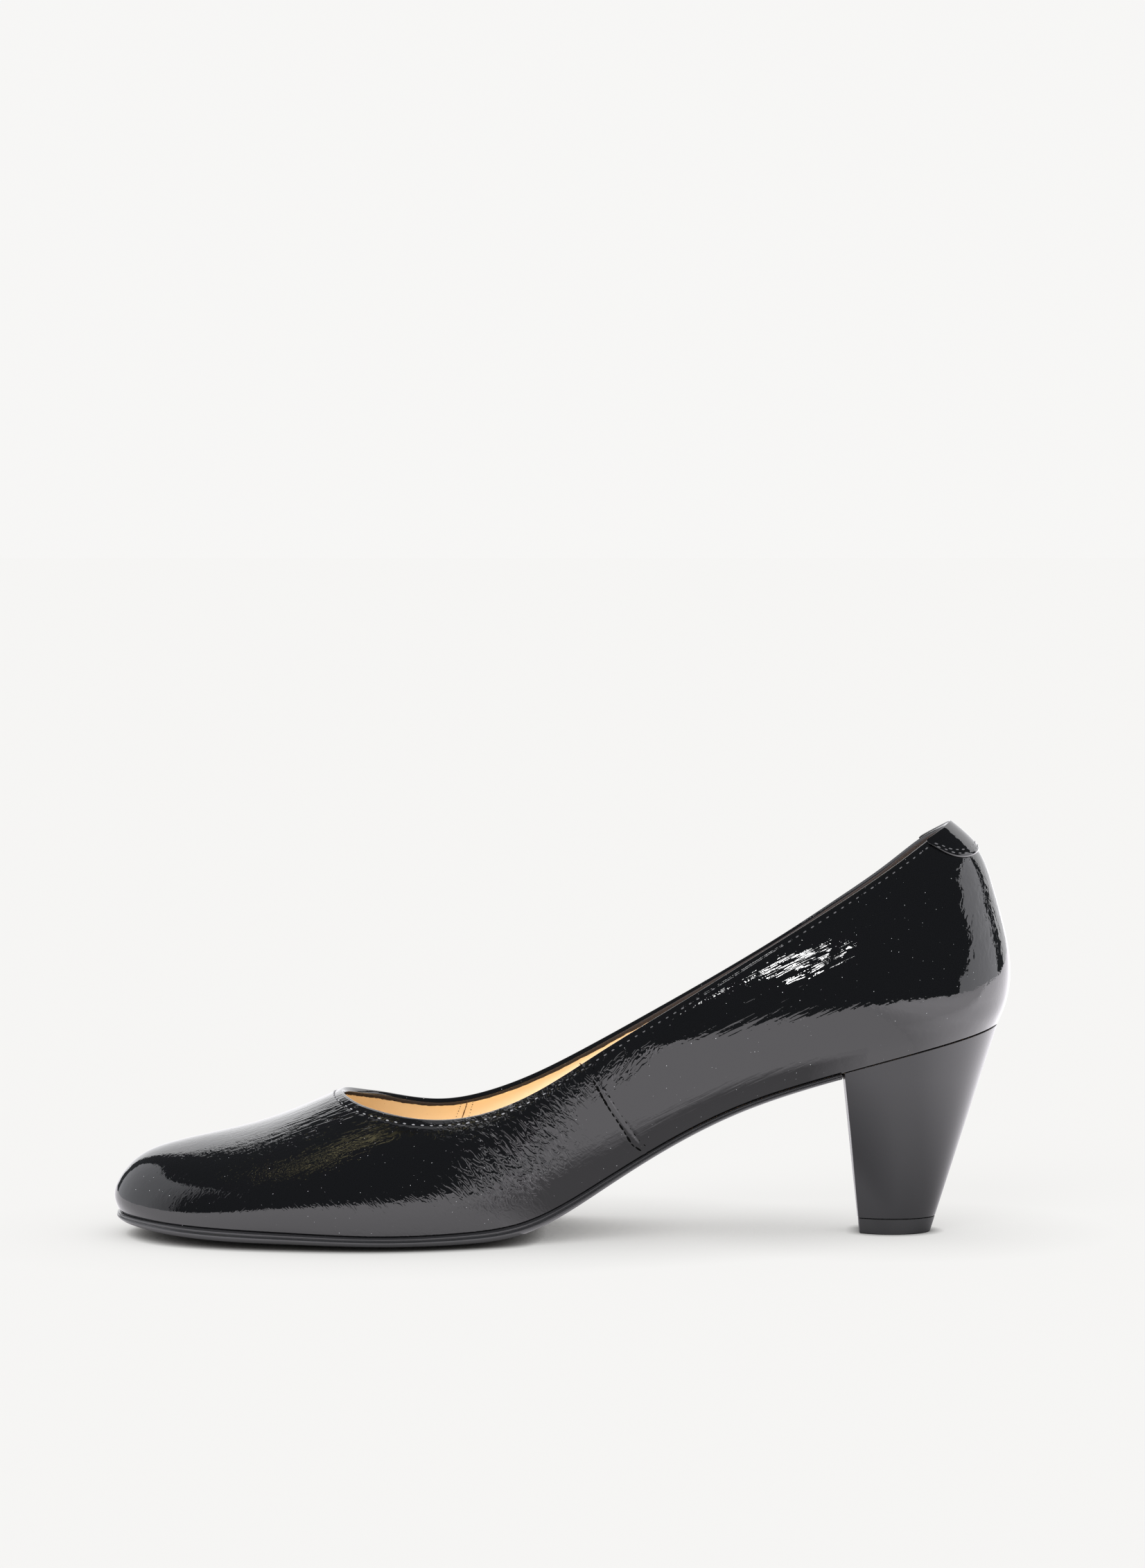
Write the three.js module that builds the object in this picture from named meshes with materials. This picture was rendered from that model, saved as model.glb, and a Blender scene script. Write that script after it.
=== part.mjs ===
import * as THREE from 'three';

// A right-foot pump on a block heel, in millimetres: toe towards -X, inner side of the foot
// towards -Y, floor at Z = 0. The upper is worked out from ribs that run from the feather
// line, where it meets the sole, up to the top line around the foot opening.

// Driving sizes
const length = 248;            // toe tip to the back of the counter
const ballWidth = 80;          // upper, across the ball of the foot
const seatHeight = 58.1;       // floor to the feather line at the back
const counterHeight = 55.7;    // feather line to the top line, at the back
const upperWall = 1.8;         // leather, lining and stiffener together
const ballSole = 3.0;          // outsole edge at the ball and toe
const shankSole = 1.8;         // outsole edge under the arch
const breastSole = 1.4;        // outsole edge where it meets the heel
const soleLip = 0.7;           // outsole edge past the feather line
const soleCrown = 1.5;         // how far the sole's middle hangs below its rims
const crownFlat = 0.25;        // middle share of the sole's width that stays flat
const rimLift = 1.2;           // floor to the sole's rim at the ball
const toeSpring = 2.2;         // feather line at the toe above the ball
const insoleThickness = 2.4;
const seam = 0.3;              // clearance between pieces that meet
const heelBaseLength = 19.6;
const heelBaseWidth = 18.6;
const heelBaseBreast = 12.6;   // width of the flat breast at the floor
const heelBaseBack = 22.2;     // back of the counter to the back of the heel, at the floor
const heelHollow = 1.18;       // 1 gives straight sides, more draws them in
const heelTurn = 4.5;          // degrees that the heel turns from the shoe's long axis
const heelLip = 0.1;           // heel past the feather line at its seat
const topPieceHeight = 4.3;
const tabThickness = 0.6;
const tabDepth = 11.3;         // heel tab at the back seam, along the leather
const lastOffset = 0.48;       // the last's long axis from the middle of the shoe's box

// Where the inner end of the heel's breast stands, in ribs counted from the toe
const breastRib = 12.49;
const breastSlant = 0.24;      // how much nearer the back the outer end stands

// Fineness of the faceted solids
const stationsPerRib = 3;
const upperLevels = 13;
const bedSteps = 8;
const outsoleSteps = 34;
const insoleSteps = 44;
const heelStations = 36;
const heelLevels = 7;
const tabStations = 20;
const tabLevels = 4;

// Steps over which a direction is taken, in ribs and as a share of a rib's height
const featherStep = 0.05;
const ribStep = 0.06;
const shareStep = 0.01;

// Where the plates end, short of the toe tip and the back seam, in ribs
const tipRib = 0.06;

// Rounds of the smooth curve's solution, enough for a change below a thousandth
const curveRounds = 60;

// The feather line, a row for each rib from the toe to the back seam: along as a share of
// length, inner and outer as shares of ballWidth, rise of the height from ball to seat and
// spring of toeSpring.
const featherRows = [
  { along: 0.0056, inner: 0.000, outer: 0.000, rise: 0.000, spring: 1.00 },
  { along: 0.0130, inner: 0.119, outer: 0.119, rise: 0.000, spring: 0.96 },
  { along: 0.0340, inner: 0.225, outer: 0.225, rise: 0.000, spring: 0.86 },
  { along: 0.0726, inner: 0.325, outer: 0.331, rise: 0.000, spring: 0.64 },
  { along: 0.1330, inner: 0.4075, outer: 0.419, rise: 0.000, spring: 0.38 },
  { along: 0.2100, inner: 0.461, outer: 0.472, rise: 0.000, spring: 0.12 },
  { along: 0.2980, inner: 0.480, outer: 0.490, rise: 0.000, spring: -0.18 },
  { along: 0.3870, inner: 0.431, outer: 0.480, rise: 0.000, spring: 0.00 },
  { along: 0.4640, inner: 0.3475, outer: 0.436, rise: 0.052, spring: 0.00 },
  { along: 0.5400, inner: 0.283, outer: 0.381, rise: 0.231, spring: 0.00 },
  { along: 0.6170, inner: 0.257, outer: 0.344, rise: 0.440, spring: 0.00 },
  { along: 0.6935, inner: 0.259, outer: 0.3225, rise: 0.612, spring: 0.00 },
  { along: 0.7700, inner: 0.280, outer: 0.315, rise: 0.735, spring: 0.00 },
  { along: 0.8390, inner: 0.295, outer: 0.310, rise: 0.8265, spring: 0.00 },
  { along: 0.9000, inner: 0.285, outer: 0.2875, rise: 0.902, spring: 0.00 },
  { along: 0.9480, inner: 0.2225, outer: 0.225, rise: 0.958, spring: 0.00 },
  { along: 0.9750, inner: 0.122, outer: 0.122, rise: 0.990, spring: 0.00 },
  { along: 0.9843, inner: 0.000, outer: 0.000, rise: 1.000, spring: 0.00 },
];

// The top line, a row for each rib: along and sides as above, and its height over the
// feather line on the same rib as a share of counterHeight, on the inner and outer side.
const topRows = [
  { along: 0.2540, inner: 0.000, outer: 0.000, innerUp: 0.596, outerUp: 0.596 },
  { along: 0.2565, inner: 0.082, outer: 0.084, innerUp: 0.594, outerUp: 0.594 },
  { along: 0.2640, inner: 0.154, outer: 0.160, innerUp: 0.584, outerUp: 0.585 },
  { along: 0.2780, inner: 0.216, outer: 0.228, innerUp: 0.570, outerUp: 0.573 },
  { along: 0.3000, inner: 0.267, outer: 0.286, innerUp: 0.557, outerUp: 0.560 },
  { along: 0.3306, inner: 0.302, outer: 0.324, innerUp: 0.543, outerUp: 0.540 },
  { along: 0.3710, inner: 0.315, outer: 0.338, innerUp: 0.548, outerUp: 0.540 },
  { along: 0.4194, inner: 0.318, outer: 0.344, innerUp: 0.581, outerUp: 0.574 },
  { along: 0.4758, inner: 0.316, outer: 0.338, innerUp: 0.643, outerUp: 0.622 },
  { along: 0.5403, inner: 0.310, outer: 0.328, innerUp: 0.650, outerUp: 0.600 },
  { along: 0.6089, inner: 0.300, outer: 0.313, innerUp: 0.634, outerUp: 0.571 },
  { along: 0.6774, inner: 0.286, outer: 0.297, innerUp: 0.655, outerUp: 0.583 },
  { along: 0.7460, inner: 0.270, outer: 0.280, innerUp: 0.725, outerUp: 0.652 },
  { along: 0.8065, inner: 0.247, outer: 0.255, innerUp: 0.804, outerUp: 0.746 },
  { along: 0.8589, inner: 0.215, outer: 0.220, innerUp: 0.885, outerUp: 0.841 },
  { along: 0.8968, inner: 0.156, outer: 0.158, innerUp: 0.948, outerUp: 0.930 },
  { along: 0.9200, inner: 0.084, outer: 0.085, innerUp: 0.987, outerUp: 0.975 },
  { along: 0.9290, inner: 0.000, outer: 0.000, innerUp: 1.000, outerUp: 1.000 },
];

// How a rib swells past the straight line from feather line to top line. Each fold lies at a
// share of that line, and swells by a share of the line's length.
const swellRows = [
  { rib: 0, at: [0.009, 0.071, 0.161, 0.337, 0.66], swell: [0.056, 0.115, 0.146, 0.126, 0.039] },
  { rib: 3, at: [0.040, 0.120, 0.250, 0.45, 0.70], swell: [0.035, 0.078, 0.105, 0.100, 0.062] },
  { rib: 6, at: [0.100, 0.270, 0.500, 0.72, 0.88], swell: [0.068, 0.140, 0.162, 0.136, 0.075] },
  { rib: 8.6, at: [0.110, 0.300, 0.520, 0.80, 0.955], swell: [0.020, 0.055, 0.084, 0.094, 0.050] },
  { rib: 10.5, at: [0.130, 0.300, 0.510, 0.75, 0.91], swell: [0.054, 0.096, 0.114, 0.091, 0.046] },
  { rib: 13, at: [0.100, 0.240, 0.430, 0.66, 0.85], swell: [0.070, 0.122, 0.136, 0.112, 0.062] },
  { rib: 15, at: [0.070, 0.170, 0.330, 0.60, 0.82], swell: [0.064, 0.108, 0.130, 0.124, 0.086] },
  { rib: 17, at: [0.080, 0.220, 0.430, 0.640, 0.830], swell: [0.058, 0.117, 0.140, 0.134, 0.107] },
];

// The thickness of the outsole's edge, from the toe to the breast
const soleRows = [
  { rib: 0, thickness: 0.66 * ballSole },
  { rib: 2, thickness: 0.82 * ballSole },
  { rib: 4, thickness: ballSole },
  { rib: 6, thickness: 0.84 * ballSole },
  { rib: 8.2, thickness: ballSole },
  { rib: 9.5, thickness: 1.2 * shankSole },
  { rib: 10.5, thickness: shankSole },
  { rib: breastRib, thickness: breastSole },
];

const lastRib = featherRows.length - 1;
const ribCount = 2 * lastRib;
const ballRest = rimLift + ballSole + seam;

// A smooth curve through knots: closed into a loop, or open with ends that run out flat or
// straight
function smoothCurve(knots, values, closed, endsFlat) {
  const count = values.length;
  const span = closed ? knots[count] - knots[0] : 0;
  const bends = values.map(() => 0);
  const knotAt = (i) => (closed ? knots[((i % count) + count) % count] + span * Math.floor(i / count)
    : knots[i]);
  const valueAt = (i) => (closed ? values[((i % count) + count) % count] : values[i]);
  const bendAt = (i) => (closed ? bends[((i % count) + count) % count] : bends[i]);
  for (let pass = 0; pass < curveRounds; pass += 1) {
    for (let i = 0; i < count; i += 1) {
      const isFirst = !closed && i === 0;
      const isLast = !closed && i === count - 1;
      if ((isFirst || isLast) && !endsFlat) {
        bends[i] = 0;
      } else if (isFirst) {
        const step = knotAt(1) - knotAt(0);
        bends[0] = (6 * (valueAt(1) - valueAt(0)) / step - step * bendAt(1)) / (2 * step);
      } else if (isLast) {
        const step = knotAt(i) - knotAt(i - 1);
        bends[i] = (-6 * (valueAt(i) - valueAt(i - 1)) / step - step * bendAt(i - 1)) / (2 * step);
      } else {
        const before = knotAt(i) - knotAt(i - 1);
        const after = knotAt(i + 1) - knotAt(i);
        const turn = (valueAt(i + 1) - valueAt(i)) / after - (valueAt(i) - valueAt(i - 1)) / before;
        bends[i] = (6 * turn - before * bendAt(i - 1) - after * bendAt(i + 1)) / (2 * (before + after));
      }
    }
  }
  return (where) => {
    let at = where;
    if (closed) {
      at = knots[0] + ((((where - knots[0]) % span) + span) % span);
    }
    const last = closed ? count - 1 : count - 2;
    let i = 0;
    while (i < last && knotAt(i + 1) < at) {
      i += 1;
    }
    const step = knotAt(i + 1) - knotAt(i);
    const b = (at - knotAt(i)) / step;
    const a = 1 - b;
    const bow = (a * a * a - a) * bendAt(i) + (b * b * b - b) * bendAt(i + 1);
    return a * valueAt(i) + b * valueAt(i + 1) + (bow * step * step) / 6;
  };
}

// A closed line around the shoe: inner rows from the toe to the back, then outer rows home
function aroundCurve(rows, innerValue, outerValue) {
  const values = rows.map(innerValue);
  for (let i = lastRib - 1; i > 0; i -= 1) {
    values.push(outerValue(rows[i]));
  }
  const knots = Array.from({ length: values.length + 1 }, (_, i) => i);
  return smoothCurve(knots, values, true, false);
}

const lengthwise = (share) => (share - 0.5) * length;
const inward = (share) => -share * ballWidth - lastOffset;
const outward = (share) => share * ballWidth - lastOffset;
const featherHeight = (row) => ballRest + row.rise * (seatHeight - ballRest) + row.spring * toeSpring;

const featherX = aroundCurve(featherRows, (row) => lengthwise(row.along), (row) => lengthwise(row.along));
const featherY = aroundCurve(featherRows, (row) => inward(row.inner), (row) => outward(row.outer));
const featherZ = aroundCurve(featherRows, featherHeight, featherHeight);
const topX = aroundCurve(topRows, (row) => lengthwise(row.along), (row) => lengthwise(row.along));
const topY = aroundCurve(topRows, (row) => inward(row.inner), (row) => outward(row.outer));
const topUp = aroundCurve(topRows, (row) => row.innerUp, (row) => row.outerUp);

const swellRibs = swellRows.map((row) => row.rib);
const foldAt = swellRows[0].at.map((_, k) => smoothCurve(swellRibs, swellRows.map((row) => row.at[k]),
  false, true));
const foldSwell = swellRows[0].swell.map((_, k) => smoothCurve(swellRibs,
  swellRows.map((row) => row.swell[k]), false, true));
const soleEdge = smoothCurve(soleRows.map((row) => row.rib), soleRows.map((row) => row.thickness),
  false, true);

// Ribs are counted 0 at the toe and lastRib at the back seam on either side
const ribFromToe = (rib) => {
  const turned = ((rib % ribCount) + ribCount) % ribCount;
  return turned > lastRib ? ribCount - turned : turned;
};

function featherPoint(rib) {
  return new THREE.Vector3(featherX(rib), featherY(rib), featherZ(rib));
}

function featherOutward(rib) {
  const x = featherX(rib + featherStep) - featherX(rib - featherStep);
  const y = featherY(rib + featherStep) - featherY(rib - featherStep);
  return new THREE.Vector3(y, -x, 0).normalize();
}

function topPoint(rib) {
  return new THREE.Vector3(topX(rib), topY(rib), featherZ(rib) + topUp(rib) * counterHeight);
}

// One rib of the upper as a function of its share of the way up
function makeRib(rib) {
  const foot = featherPoint(rib);
  const head = topPoint(rib);
  const line = head.clone().sub(foot);
  const reach = line.length();
  const direction = line.clone().normalize();
  const out = featherOutward(rib);
  out.addScaledVector(direction, -out.dot(direction)).normalize();
  const side = ribFromToe(rib);
  const folds = foldAt.map((at, k) => foot.clone()
    .addScaledVector(line, at(side))
    .addScaledVector(out, foldSwell[k](side) * reach));
  const points = [foot, ...folds, head];
  const knots = [0];
  for (let i = 1; i < points.length; i += 1) {
    knots.push(knots[i - 1] + points[i].distanceTo(points[i - 1]));
  }
  const total = knots[knots.length - 1];
  const x = smoothCurve(knots, points.map((p) => p.x), false, false);
  const y = smoothCurve(knots, points.map((p) => p.y), false, false);
  const z = smoothCurve(knots, points.map((p) => p.z), false, false);
  return (share) => new THREE.Vector3(x(share * total), y(share * total), z(share * total));
}

const ribCache = new Map();
function surfacePoint(rib, share) {
  const key = rib.toFixed(4);
  if (!ribCache.has(key)) {
    ribCache.set(key, makeRib(rib));
  }
  return ribCache.get(key)(share);
}

function ribLength(rib) {
  let total = 0;
  for (let k = 0; k < upperLevels; k += 1) {
    total += surfacePoint(rib, k / upperLevels).distanceTo(surfacePoint(rib, (k + 1) / upperLevels));
  }
  return total;
}

function surfaceNormal(rib, share) {
  const low = Math.max(0, share - shareStep);
  const high = Math.min(1, share + shareStep);
  const alongLine = surfacePoint(rib + ribStep, share).sub(surfacePoint(rib - ribStep, share));
  const upRib = surfacePoint(rib, high).sub(surfacePoint(rib, low));
  return alongLine.cross(upRib).normalize();
}

function skinPoint(rib, share, offset) {
  return surfacePoint(rib, share).addScaledVector(surfaceNormal(rib, share), offset);
}

// A closed mesh from points and faces of three or four corners, counted from outside
function solid(name, points, faces, material) {
  const corners = [];
  for (const face of faces) {
    for (let k = 1; k + 1 < face.length; k += 1) {
      corners.push(face[0], face[k], face[k + 1]);
    }
  }
  let volume = 0;
  for (let i = 0; i < corners.length; i += 3) {
    const a = points[corners[i]];
    const b = points[corners[i + 1]];
    const c = points[corners[i + 2]];
    volume += a.dot(b.clone().cross(c));
  }
  if (volume < 0) {
    corners.reverse();
  }
  const geometry = new THREE.BufferGeometry();
  geometry.setAttribute('position', new THREE.Float32BufferAttribute(points.flatMap((p) => p.toArray()), 3));
  geometry.setIndex(corners);
  geometry.computeVertexNormals();
  const mesh = new THREE.Mesh(geometry, material);
  mesh.name = name;
  return mesh;
}

// The upper: an outer and an inner skin joined by the top rim and the lower rim
function makeUpper(material) {
  const stations = ribCount * stationsPerRib;
  const columns = [];
  for (let i = 0; i < stations; i += 1) {
    const rib = i / stationsPerRib;
    const column = [];
    for (let k = 0; k <= upperLevels; k += 1) {
      column.push(skinPoint(rib, k / upperLevels, 0));
    }
    for (let k = upperLevels; k >= 0; k -= 1) {
      column.push(skinPoint(rib, k / upperLevels, -upperWall));
    }
    columns.push(column);
  }
  const ring = columns[0].length;
  const faces = [];
  for (let i = 0; i < stations; i += 1) {
    const next = (i + 1) % stations;
    for (let k = 0; k < ring; k += 1) {
      const up = (k + 1) % ring;
      faces.push([i * ring + k, next * ring + k, next * ring + up, i * ring + up]);
    }
  }
  return solid('upper', columns.flat(), faces, material);
}

// The rib on the outer side that faces a rib on the inner side, slanted at the breast
function facingRib(rib) {
  const slant = rib < breastRib ? (rib / breastRib) ** 2 : (lastRib - rib) / (lastRib - breastRib);
  return ribCount - rib - breastSlant * slant;
}

// How far the underside hangs below its two rims, across a row of a given width
function crownDrop(share, width) {
  const toRim = Math.max(0, (Math.abs(2 * share - 1) - crownFlat) / (1 - crownFlat));
  return soleCrown * Math.min(1, (2 * width) / ballWidth) * (1 - toRim * toRim);
}

function besideFeather(rib, past) {
  return featherPoint(rib).addScaledVector(featherOutward(rib), past);
}

// A row of points from rim to rim that hangs in its middle
function hangingRow(inner, outer) {
  const width = inner.distanceTo(outer);
  return Array.from({ length: bedSteps + 1 }, (_, i) => {
    const point = inner.clone().lerp(outer, i / bedSteps);
    point.z -= crownDrop(i / bedSteps, width);
    return point;
  });
}

// A row across the underside of the foot, past the feather line and below it
function bedRow(rib, past, lower) {
  const row = hangingRow(besideFeather(rib, past), besideFeather(facingRib(rib), past));
  row.forEach((point) => point.setZ(point.z - lower));
  return row;
}

// A plate between two sets of rows that share their outline in plan
function makePlate(name, upperRows, lowerRows, material) {
  const across = bedSteps + 1;
  const points = [...upperRows.flat(), ...lowerRows.flat()];
  const under = upperRows.length * across;
  const faces = [];
  const last = upperRows.length - 1;
  for (let i = 0; i < last; i += 1) {
    for (let k = 0; k < bedSteps; k += 1) {
      const a = i * across + k;
      faces.push([a, a + 1, a + 1 + across, a + across]);
      faces.push([under + a, under + a + across, under + a + 1 + across, under + a + 1]);
    }
    const left = i * across;
    const right = i * across + bedSteps;
    faces.push([left, left + across, under + left + across, under + left]);
    faces.push([right, under + right, under + right + across, right + across]);
  }
  for (let k = 0; k < bedSteps; k += 1) {
    faces.push([k, under + k, under + k + 1, k + 1]);
    const a = last * across + k;
    faces.push([a, a + 1, under + a + 1, under + a]);
  }
  return solid(name, points, faces, material);
}

function ribSteps(first, last, count) {
  return Array.from({ length: count + 1 }, (_, i) => first + ((last - first) * i) / count);
}

function makeOutsole(material) {
  const ribs = ribSteps(tipRib, breastRib, outsoleSteps);
  const upperRows = ribs.map((rib) => bedRow(rib, soleLip, seam));
  const lowerRows = ribs.map((rib) => bedRow(rib, soleLip, seam + soleEdge(rib)));
  lowerRows.flat().forEach((point) => point.setZ(Math.max(0, point.z)));
  return makePlate('outsole', upperRows, lowerRows, material);
}

function makeInsole(material) {
  const ribs = ribSteps(tipRib, lastRib - tipRib, insoleSteps);
  const inset = -(upperWall + seam);
  const upperRows = ribs.map((rib) => bedRow(rib, inset, -insoleThickness));
  const lowerRows = ribs.map((rib) => bedRow(rib, inset, 0));
  return makePlate('insole', upperRows, lowerRows, material);
}

// A point on the heel's wall: station runs from 0 at the inner breast corner round the back to
// 1 at the outer one, and share from 0 at the floor to 1 at the seat
const baseBack = lengthwise(1) - heelBaseBack;
const breastTurn = Math.PI - Math.asin(heelBaseBreast / heelBaseWidth);
const baseReach = heelBaseLength / (1 - Math.cos(breastTurn));

function heelPoint(station, share) {
  const innerRib = breastRib + (lastRib - breastRib) * (1 - Math.abs(2 * station - 1));
  const seat = besideFeather(station <= 0.5 ? innerRib : facingRib(innerRib), heelLip);
  const turn = breastTurn * (2 * station - 1);
  const base = new THREE.Vector3(baseReach * (Math.cos(turn) - 1), (heelBaseWidth / 2) * Math.sin(turn), 0);
  base.applyAxisAngle(new THREE.Vector3(0, 0, 1), -THREE.MathUtils.degToRad(heelTurn));
  base.x += baseBack;
  base.y -= lastOffset;
  const point = base.clone().lerp(seat, share);
  point.y = base.y + (seat.y - base.y) * share ** heelHollow;
  return point;
}

// A loft through outlines that all run from the inner breast corner round the back
function makeLoft(name, outlines, capRows, material) {
  const points = [];
  const faces = [];
  const around = outlines[0].length;
  const rings = outlines.map((outline) => {
    const ring = [...outline];
    const from = outline[around - 1];
    const to = outline[0];
    for (let i = 1; i < bedSteps; i += 1) {
      ring.push(from.clone().lerp(to, i / bedSteps));
    }
    return ring;
  });
  if (capRows) {
    for (let i = 1; i < bedSteps; i += 1) {
      rings[rings.length - 1][around - 1 + i] = capRows[0][bedSteps - i].clone();
    }
  }
  const size = rings[0].length;
  rings.forEach((ring) => points.push(...ring));
  for (let r = 0; r + 1 < rings.length; r += 1) {
    for (let i = 0; i < size; i += 1) {
      const next = (i + 1) % size;
      faces.push([r * size + i, r * size + next, (r + 1) * size + next, (r + 1) * size + i]);
    }
  }
  addCap(points, faces, 0, around, size, null, true);
  addCap(points, faces, (rings.length - 1) * size, around, size, capRows, false);
  return solid(name, points, faces, material);
}

// A cap made of rows that cross from one side of a ring to the other, breast first
function addCap(points, faces, start, around, size, capRows, faceDown) {
  const half = (around - 1) / 2;
  const rows = [];
  for (let r = 0; r < half; r += 1) {
    const left = start + r;
    const right = start + around - 1 - r;
    const row = [left];
    for (let i = 1; i < bedSteps; i += 1) {
      if (r === 0) {
        row.push(start + size - i);
      } else {
        const share = i / bedSteps;
        const point = capRows ? capRows[r][i].clone() : points[left].clone().lerp(points[right], share);
        row.push(points.length);
        points.push(point);
      }
    }
    row.push(right);
    rows.push(row);
  }
  const tip = start + half;
  for (let r = 0; r + 1 < rows.length; r += 1) {
    for (let i = 0; i < bedSteps; i += 1) {
      const face = [rows[r][i], rows[r][i + 1], rows[r + 1][i + 1], rows[r + 1][i]];
      faces.push(faceDown ? face : face.reverse());
    }
  }
  const lastRow = rows[rows.length - 1];
  for (let i = 0; i < bedSteps; i += 1) {
    const face = [lastRow[i], lastRow[i + 1], tip];
    faces.push(faceDown ? face : face.reverse());
  }
}

function heelOutline(pointAt) {
  return Array.from({ length: heelStations + 1 }, (_, i) => pointAt(i / heelStations));
}

function makeHeel(material) {
  const bottom = topPieceHeight + seam;
  const outlines = [];
  for (let level = 0; level <= heelLevels; level += 1) {
    outlines.push(heelOutline((station) => {
      const seatZ = heelPoint(station, 1).z;
      const z = bottom + ((seatZ - seam - bottom) * level) / heelLevels;
      return heelPoint(station, z / seatZ).setZ(z);
    }));
  }
  const seatEdge = outlines[heelLevels];
  const capRows = Array.from({ length: heelStations / 2 }, (_, r) => hangingRow(seatEdge[r],
    seatEdge[heelStations - r]));
  return makeLoft('heel', outlines, capRows, material);
}

function makeTopPiece(material) {
  const share = topPieceHeight / seatHeight;
  const outlines = [
    heelOutline((station) => heelPoint(station, 0)),
    heelOutline((station) => heelPoint(station, share).setZ(topPieceHeight)),
  ];
  return makeLoft('top_piece', outlines, null, material);
}

// The heel tab is a thin patch over the back seam. Each row holds its place in ribs from the
// seam and its depth as a share of tabDepth.
const tabRows = [
  { rib: -1.88, depth: 0.10 },
  { rib: -1.62, depth: 0.56 },
  { rib: -1.30, depth: 0.86 },
  { rib: -0.80, depth: 1.01 },
  { rib: 0, depth: 1.0 },
  { rib: 0.80, depth: 1.01 },
  { rib: 1.30, depth: 0.86 },
  { rib: 1.62, depth: 0.56 },
  { rib: 1.88, depth: 0.10 },
];

function makeHeelTab(material) {
  const depthAt = smoothCurve(tabRows.map((row) => row.rib), tabRows.map((row) => row.depth), false, false);
  const edge = tabRows[tabRows.length - 1].rib;
  const columns = [];
  for (let i = 0; i <= tabStations; i += 1) {
    const side = -edge + (2 * edge * i) / tabStations;
    const rib = lastRib + side;
    const depth = (tabDepth * depthAt(side)) / ribLength(rib);
    const column = [];
    for (let k = 0; k <= tabLevels; k += 1) {
      column.push(skinPoint(rib, 1 - (depth * k) / tabLevels, seam + tabThickness));
    }
    for (let k = tabLevels; k >= 0; k -= 1) {
      column.push(skinPoint(rib, 1 - (depth * k) / tabLevels, seam));
    }
    columns.push(column);
  }
  const ring = columns[0].length;
  const faces = [];
  for (let i = 0; i < tabStations; i += 1) {
    for (let k = 0; k < ring; k += 1) {
      const up = (k + 1) % ring;
      faces.push([i * ring + k, i * ring + up, (i + 1) * ring + up, (i + 1) * ring + k]);
    }
  }
  const end = tabStations * ring;
  for (let k = 0; k < tabLevels; k += 1) {
    const far = ring - 1 - k;
    faces.push([k, far, far - 1, k + 1]);
    faces.push([end + k, end + k + 1, end + far - 1, end + far]);
  }
  return solid('heel_tab', columns.flat(), faces, material);
}

const patent = new THREE.MeshStandardMaterial({ color: 0x0b0b0d, roughness: 0.08, metalness: 0 });
const soleBlack = new THREE.MeshStandardMaterial({ color: 0x171718, roughness: 0.45, metalness: 0 });
const heelBlack = new THREE.MeshStandardMaterial({ color: 0x131314, roughness: 0.3, metalness: 0 });
const rubberBlack = new THREE.MeshStandardMaterial({ color: 0x1a1a1b, roughness: 0.6, metalness: 0 });
const tanLeather = new THREE.MeshStandardMaterial({ color: 0xc79a63, roughness: 0.55, metalness: 0 });

const shoe = new THREE.Group();
shoe.add(makeUpper(patent));
shoe.add(makeHeelTab(patent));
shoe.add(makeInsole(tanLeather));
shoe.add(makeOutsole(soleBlack));
shoe.add(makeHeel(heelBlack));
shoe.add(makeTopPiece(rubberBlack));

export default shoe;
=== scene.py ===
import math

import bmesh
import bpy
import numpy as np
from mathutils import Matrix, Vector


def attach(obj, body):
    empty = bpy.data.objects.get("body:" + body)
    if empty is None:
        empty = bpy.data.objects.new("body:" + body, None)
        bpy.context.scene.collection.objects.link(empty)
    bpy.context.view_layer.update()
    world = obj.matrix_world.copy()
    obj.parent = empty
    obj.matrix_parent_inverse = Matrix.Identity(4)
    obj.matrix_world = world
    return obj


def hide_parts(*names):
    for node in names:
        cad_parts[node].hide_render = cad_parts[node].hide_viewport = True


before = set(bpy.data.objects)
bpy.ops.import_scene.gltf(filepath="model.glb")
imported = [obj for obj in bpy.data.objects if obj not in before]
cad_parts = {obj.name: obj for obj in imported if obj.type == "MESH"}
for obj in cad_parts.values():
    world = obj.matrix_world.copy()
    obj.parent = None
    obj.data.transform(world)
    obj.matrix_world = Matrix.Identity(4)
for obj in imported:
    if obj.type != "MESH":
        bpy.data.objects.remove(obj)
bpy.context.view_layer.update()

print("stage 1: frame loaded")

# Everything below is worked out in millimetres: toe towards -X, inner side towards -Y.
last = {
    "length": 248.0, "ballWidth": 80.0, "seatHeight": 58.1, "counterHeight": 55.7,
    "ballRest": 4.5, "toeSpring": 2.2, "axisOffset": 0.48, "seam": 0.3,
    "breastRib": 12.49, "breastSlant": 0.24, "soleCrown": 1.5, "crownFlat": 0.25,
    "soleLip": 0.7, "ribs": 17, "liningSeamRib": 6.45, "liningSeamLean": 0.32,
}

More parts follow.
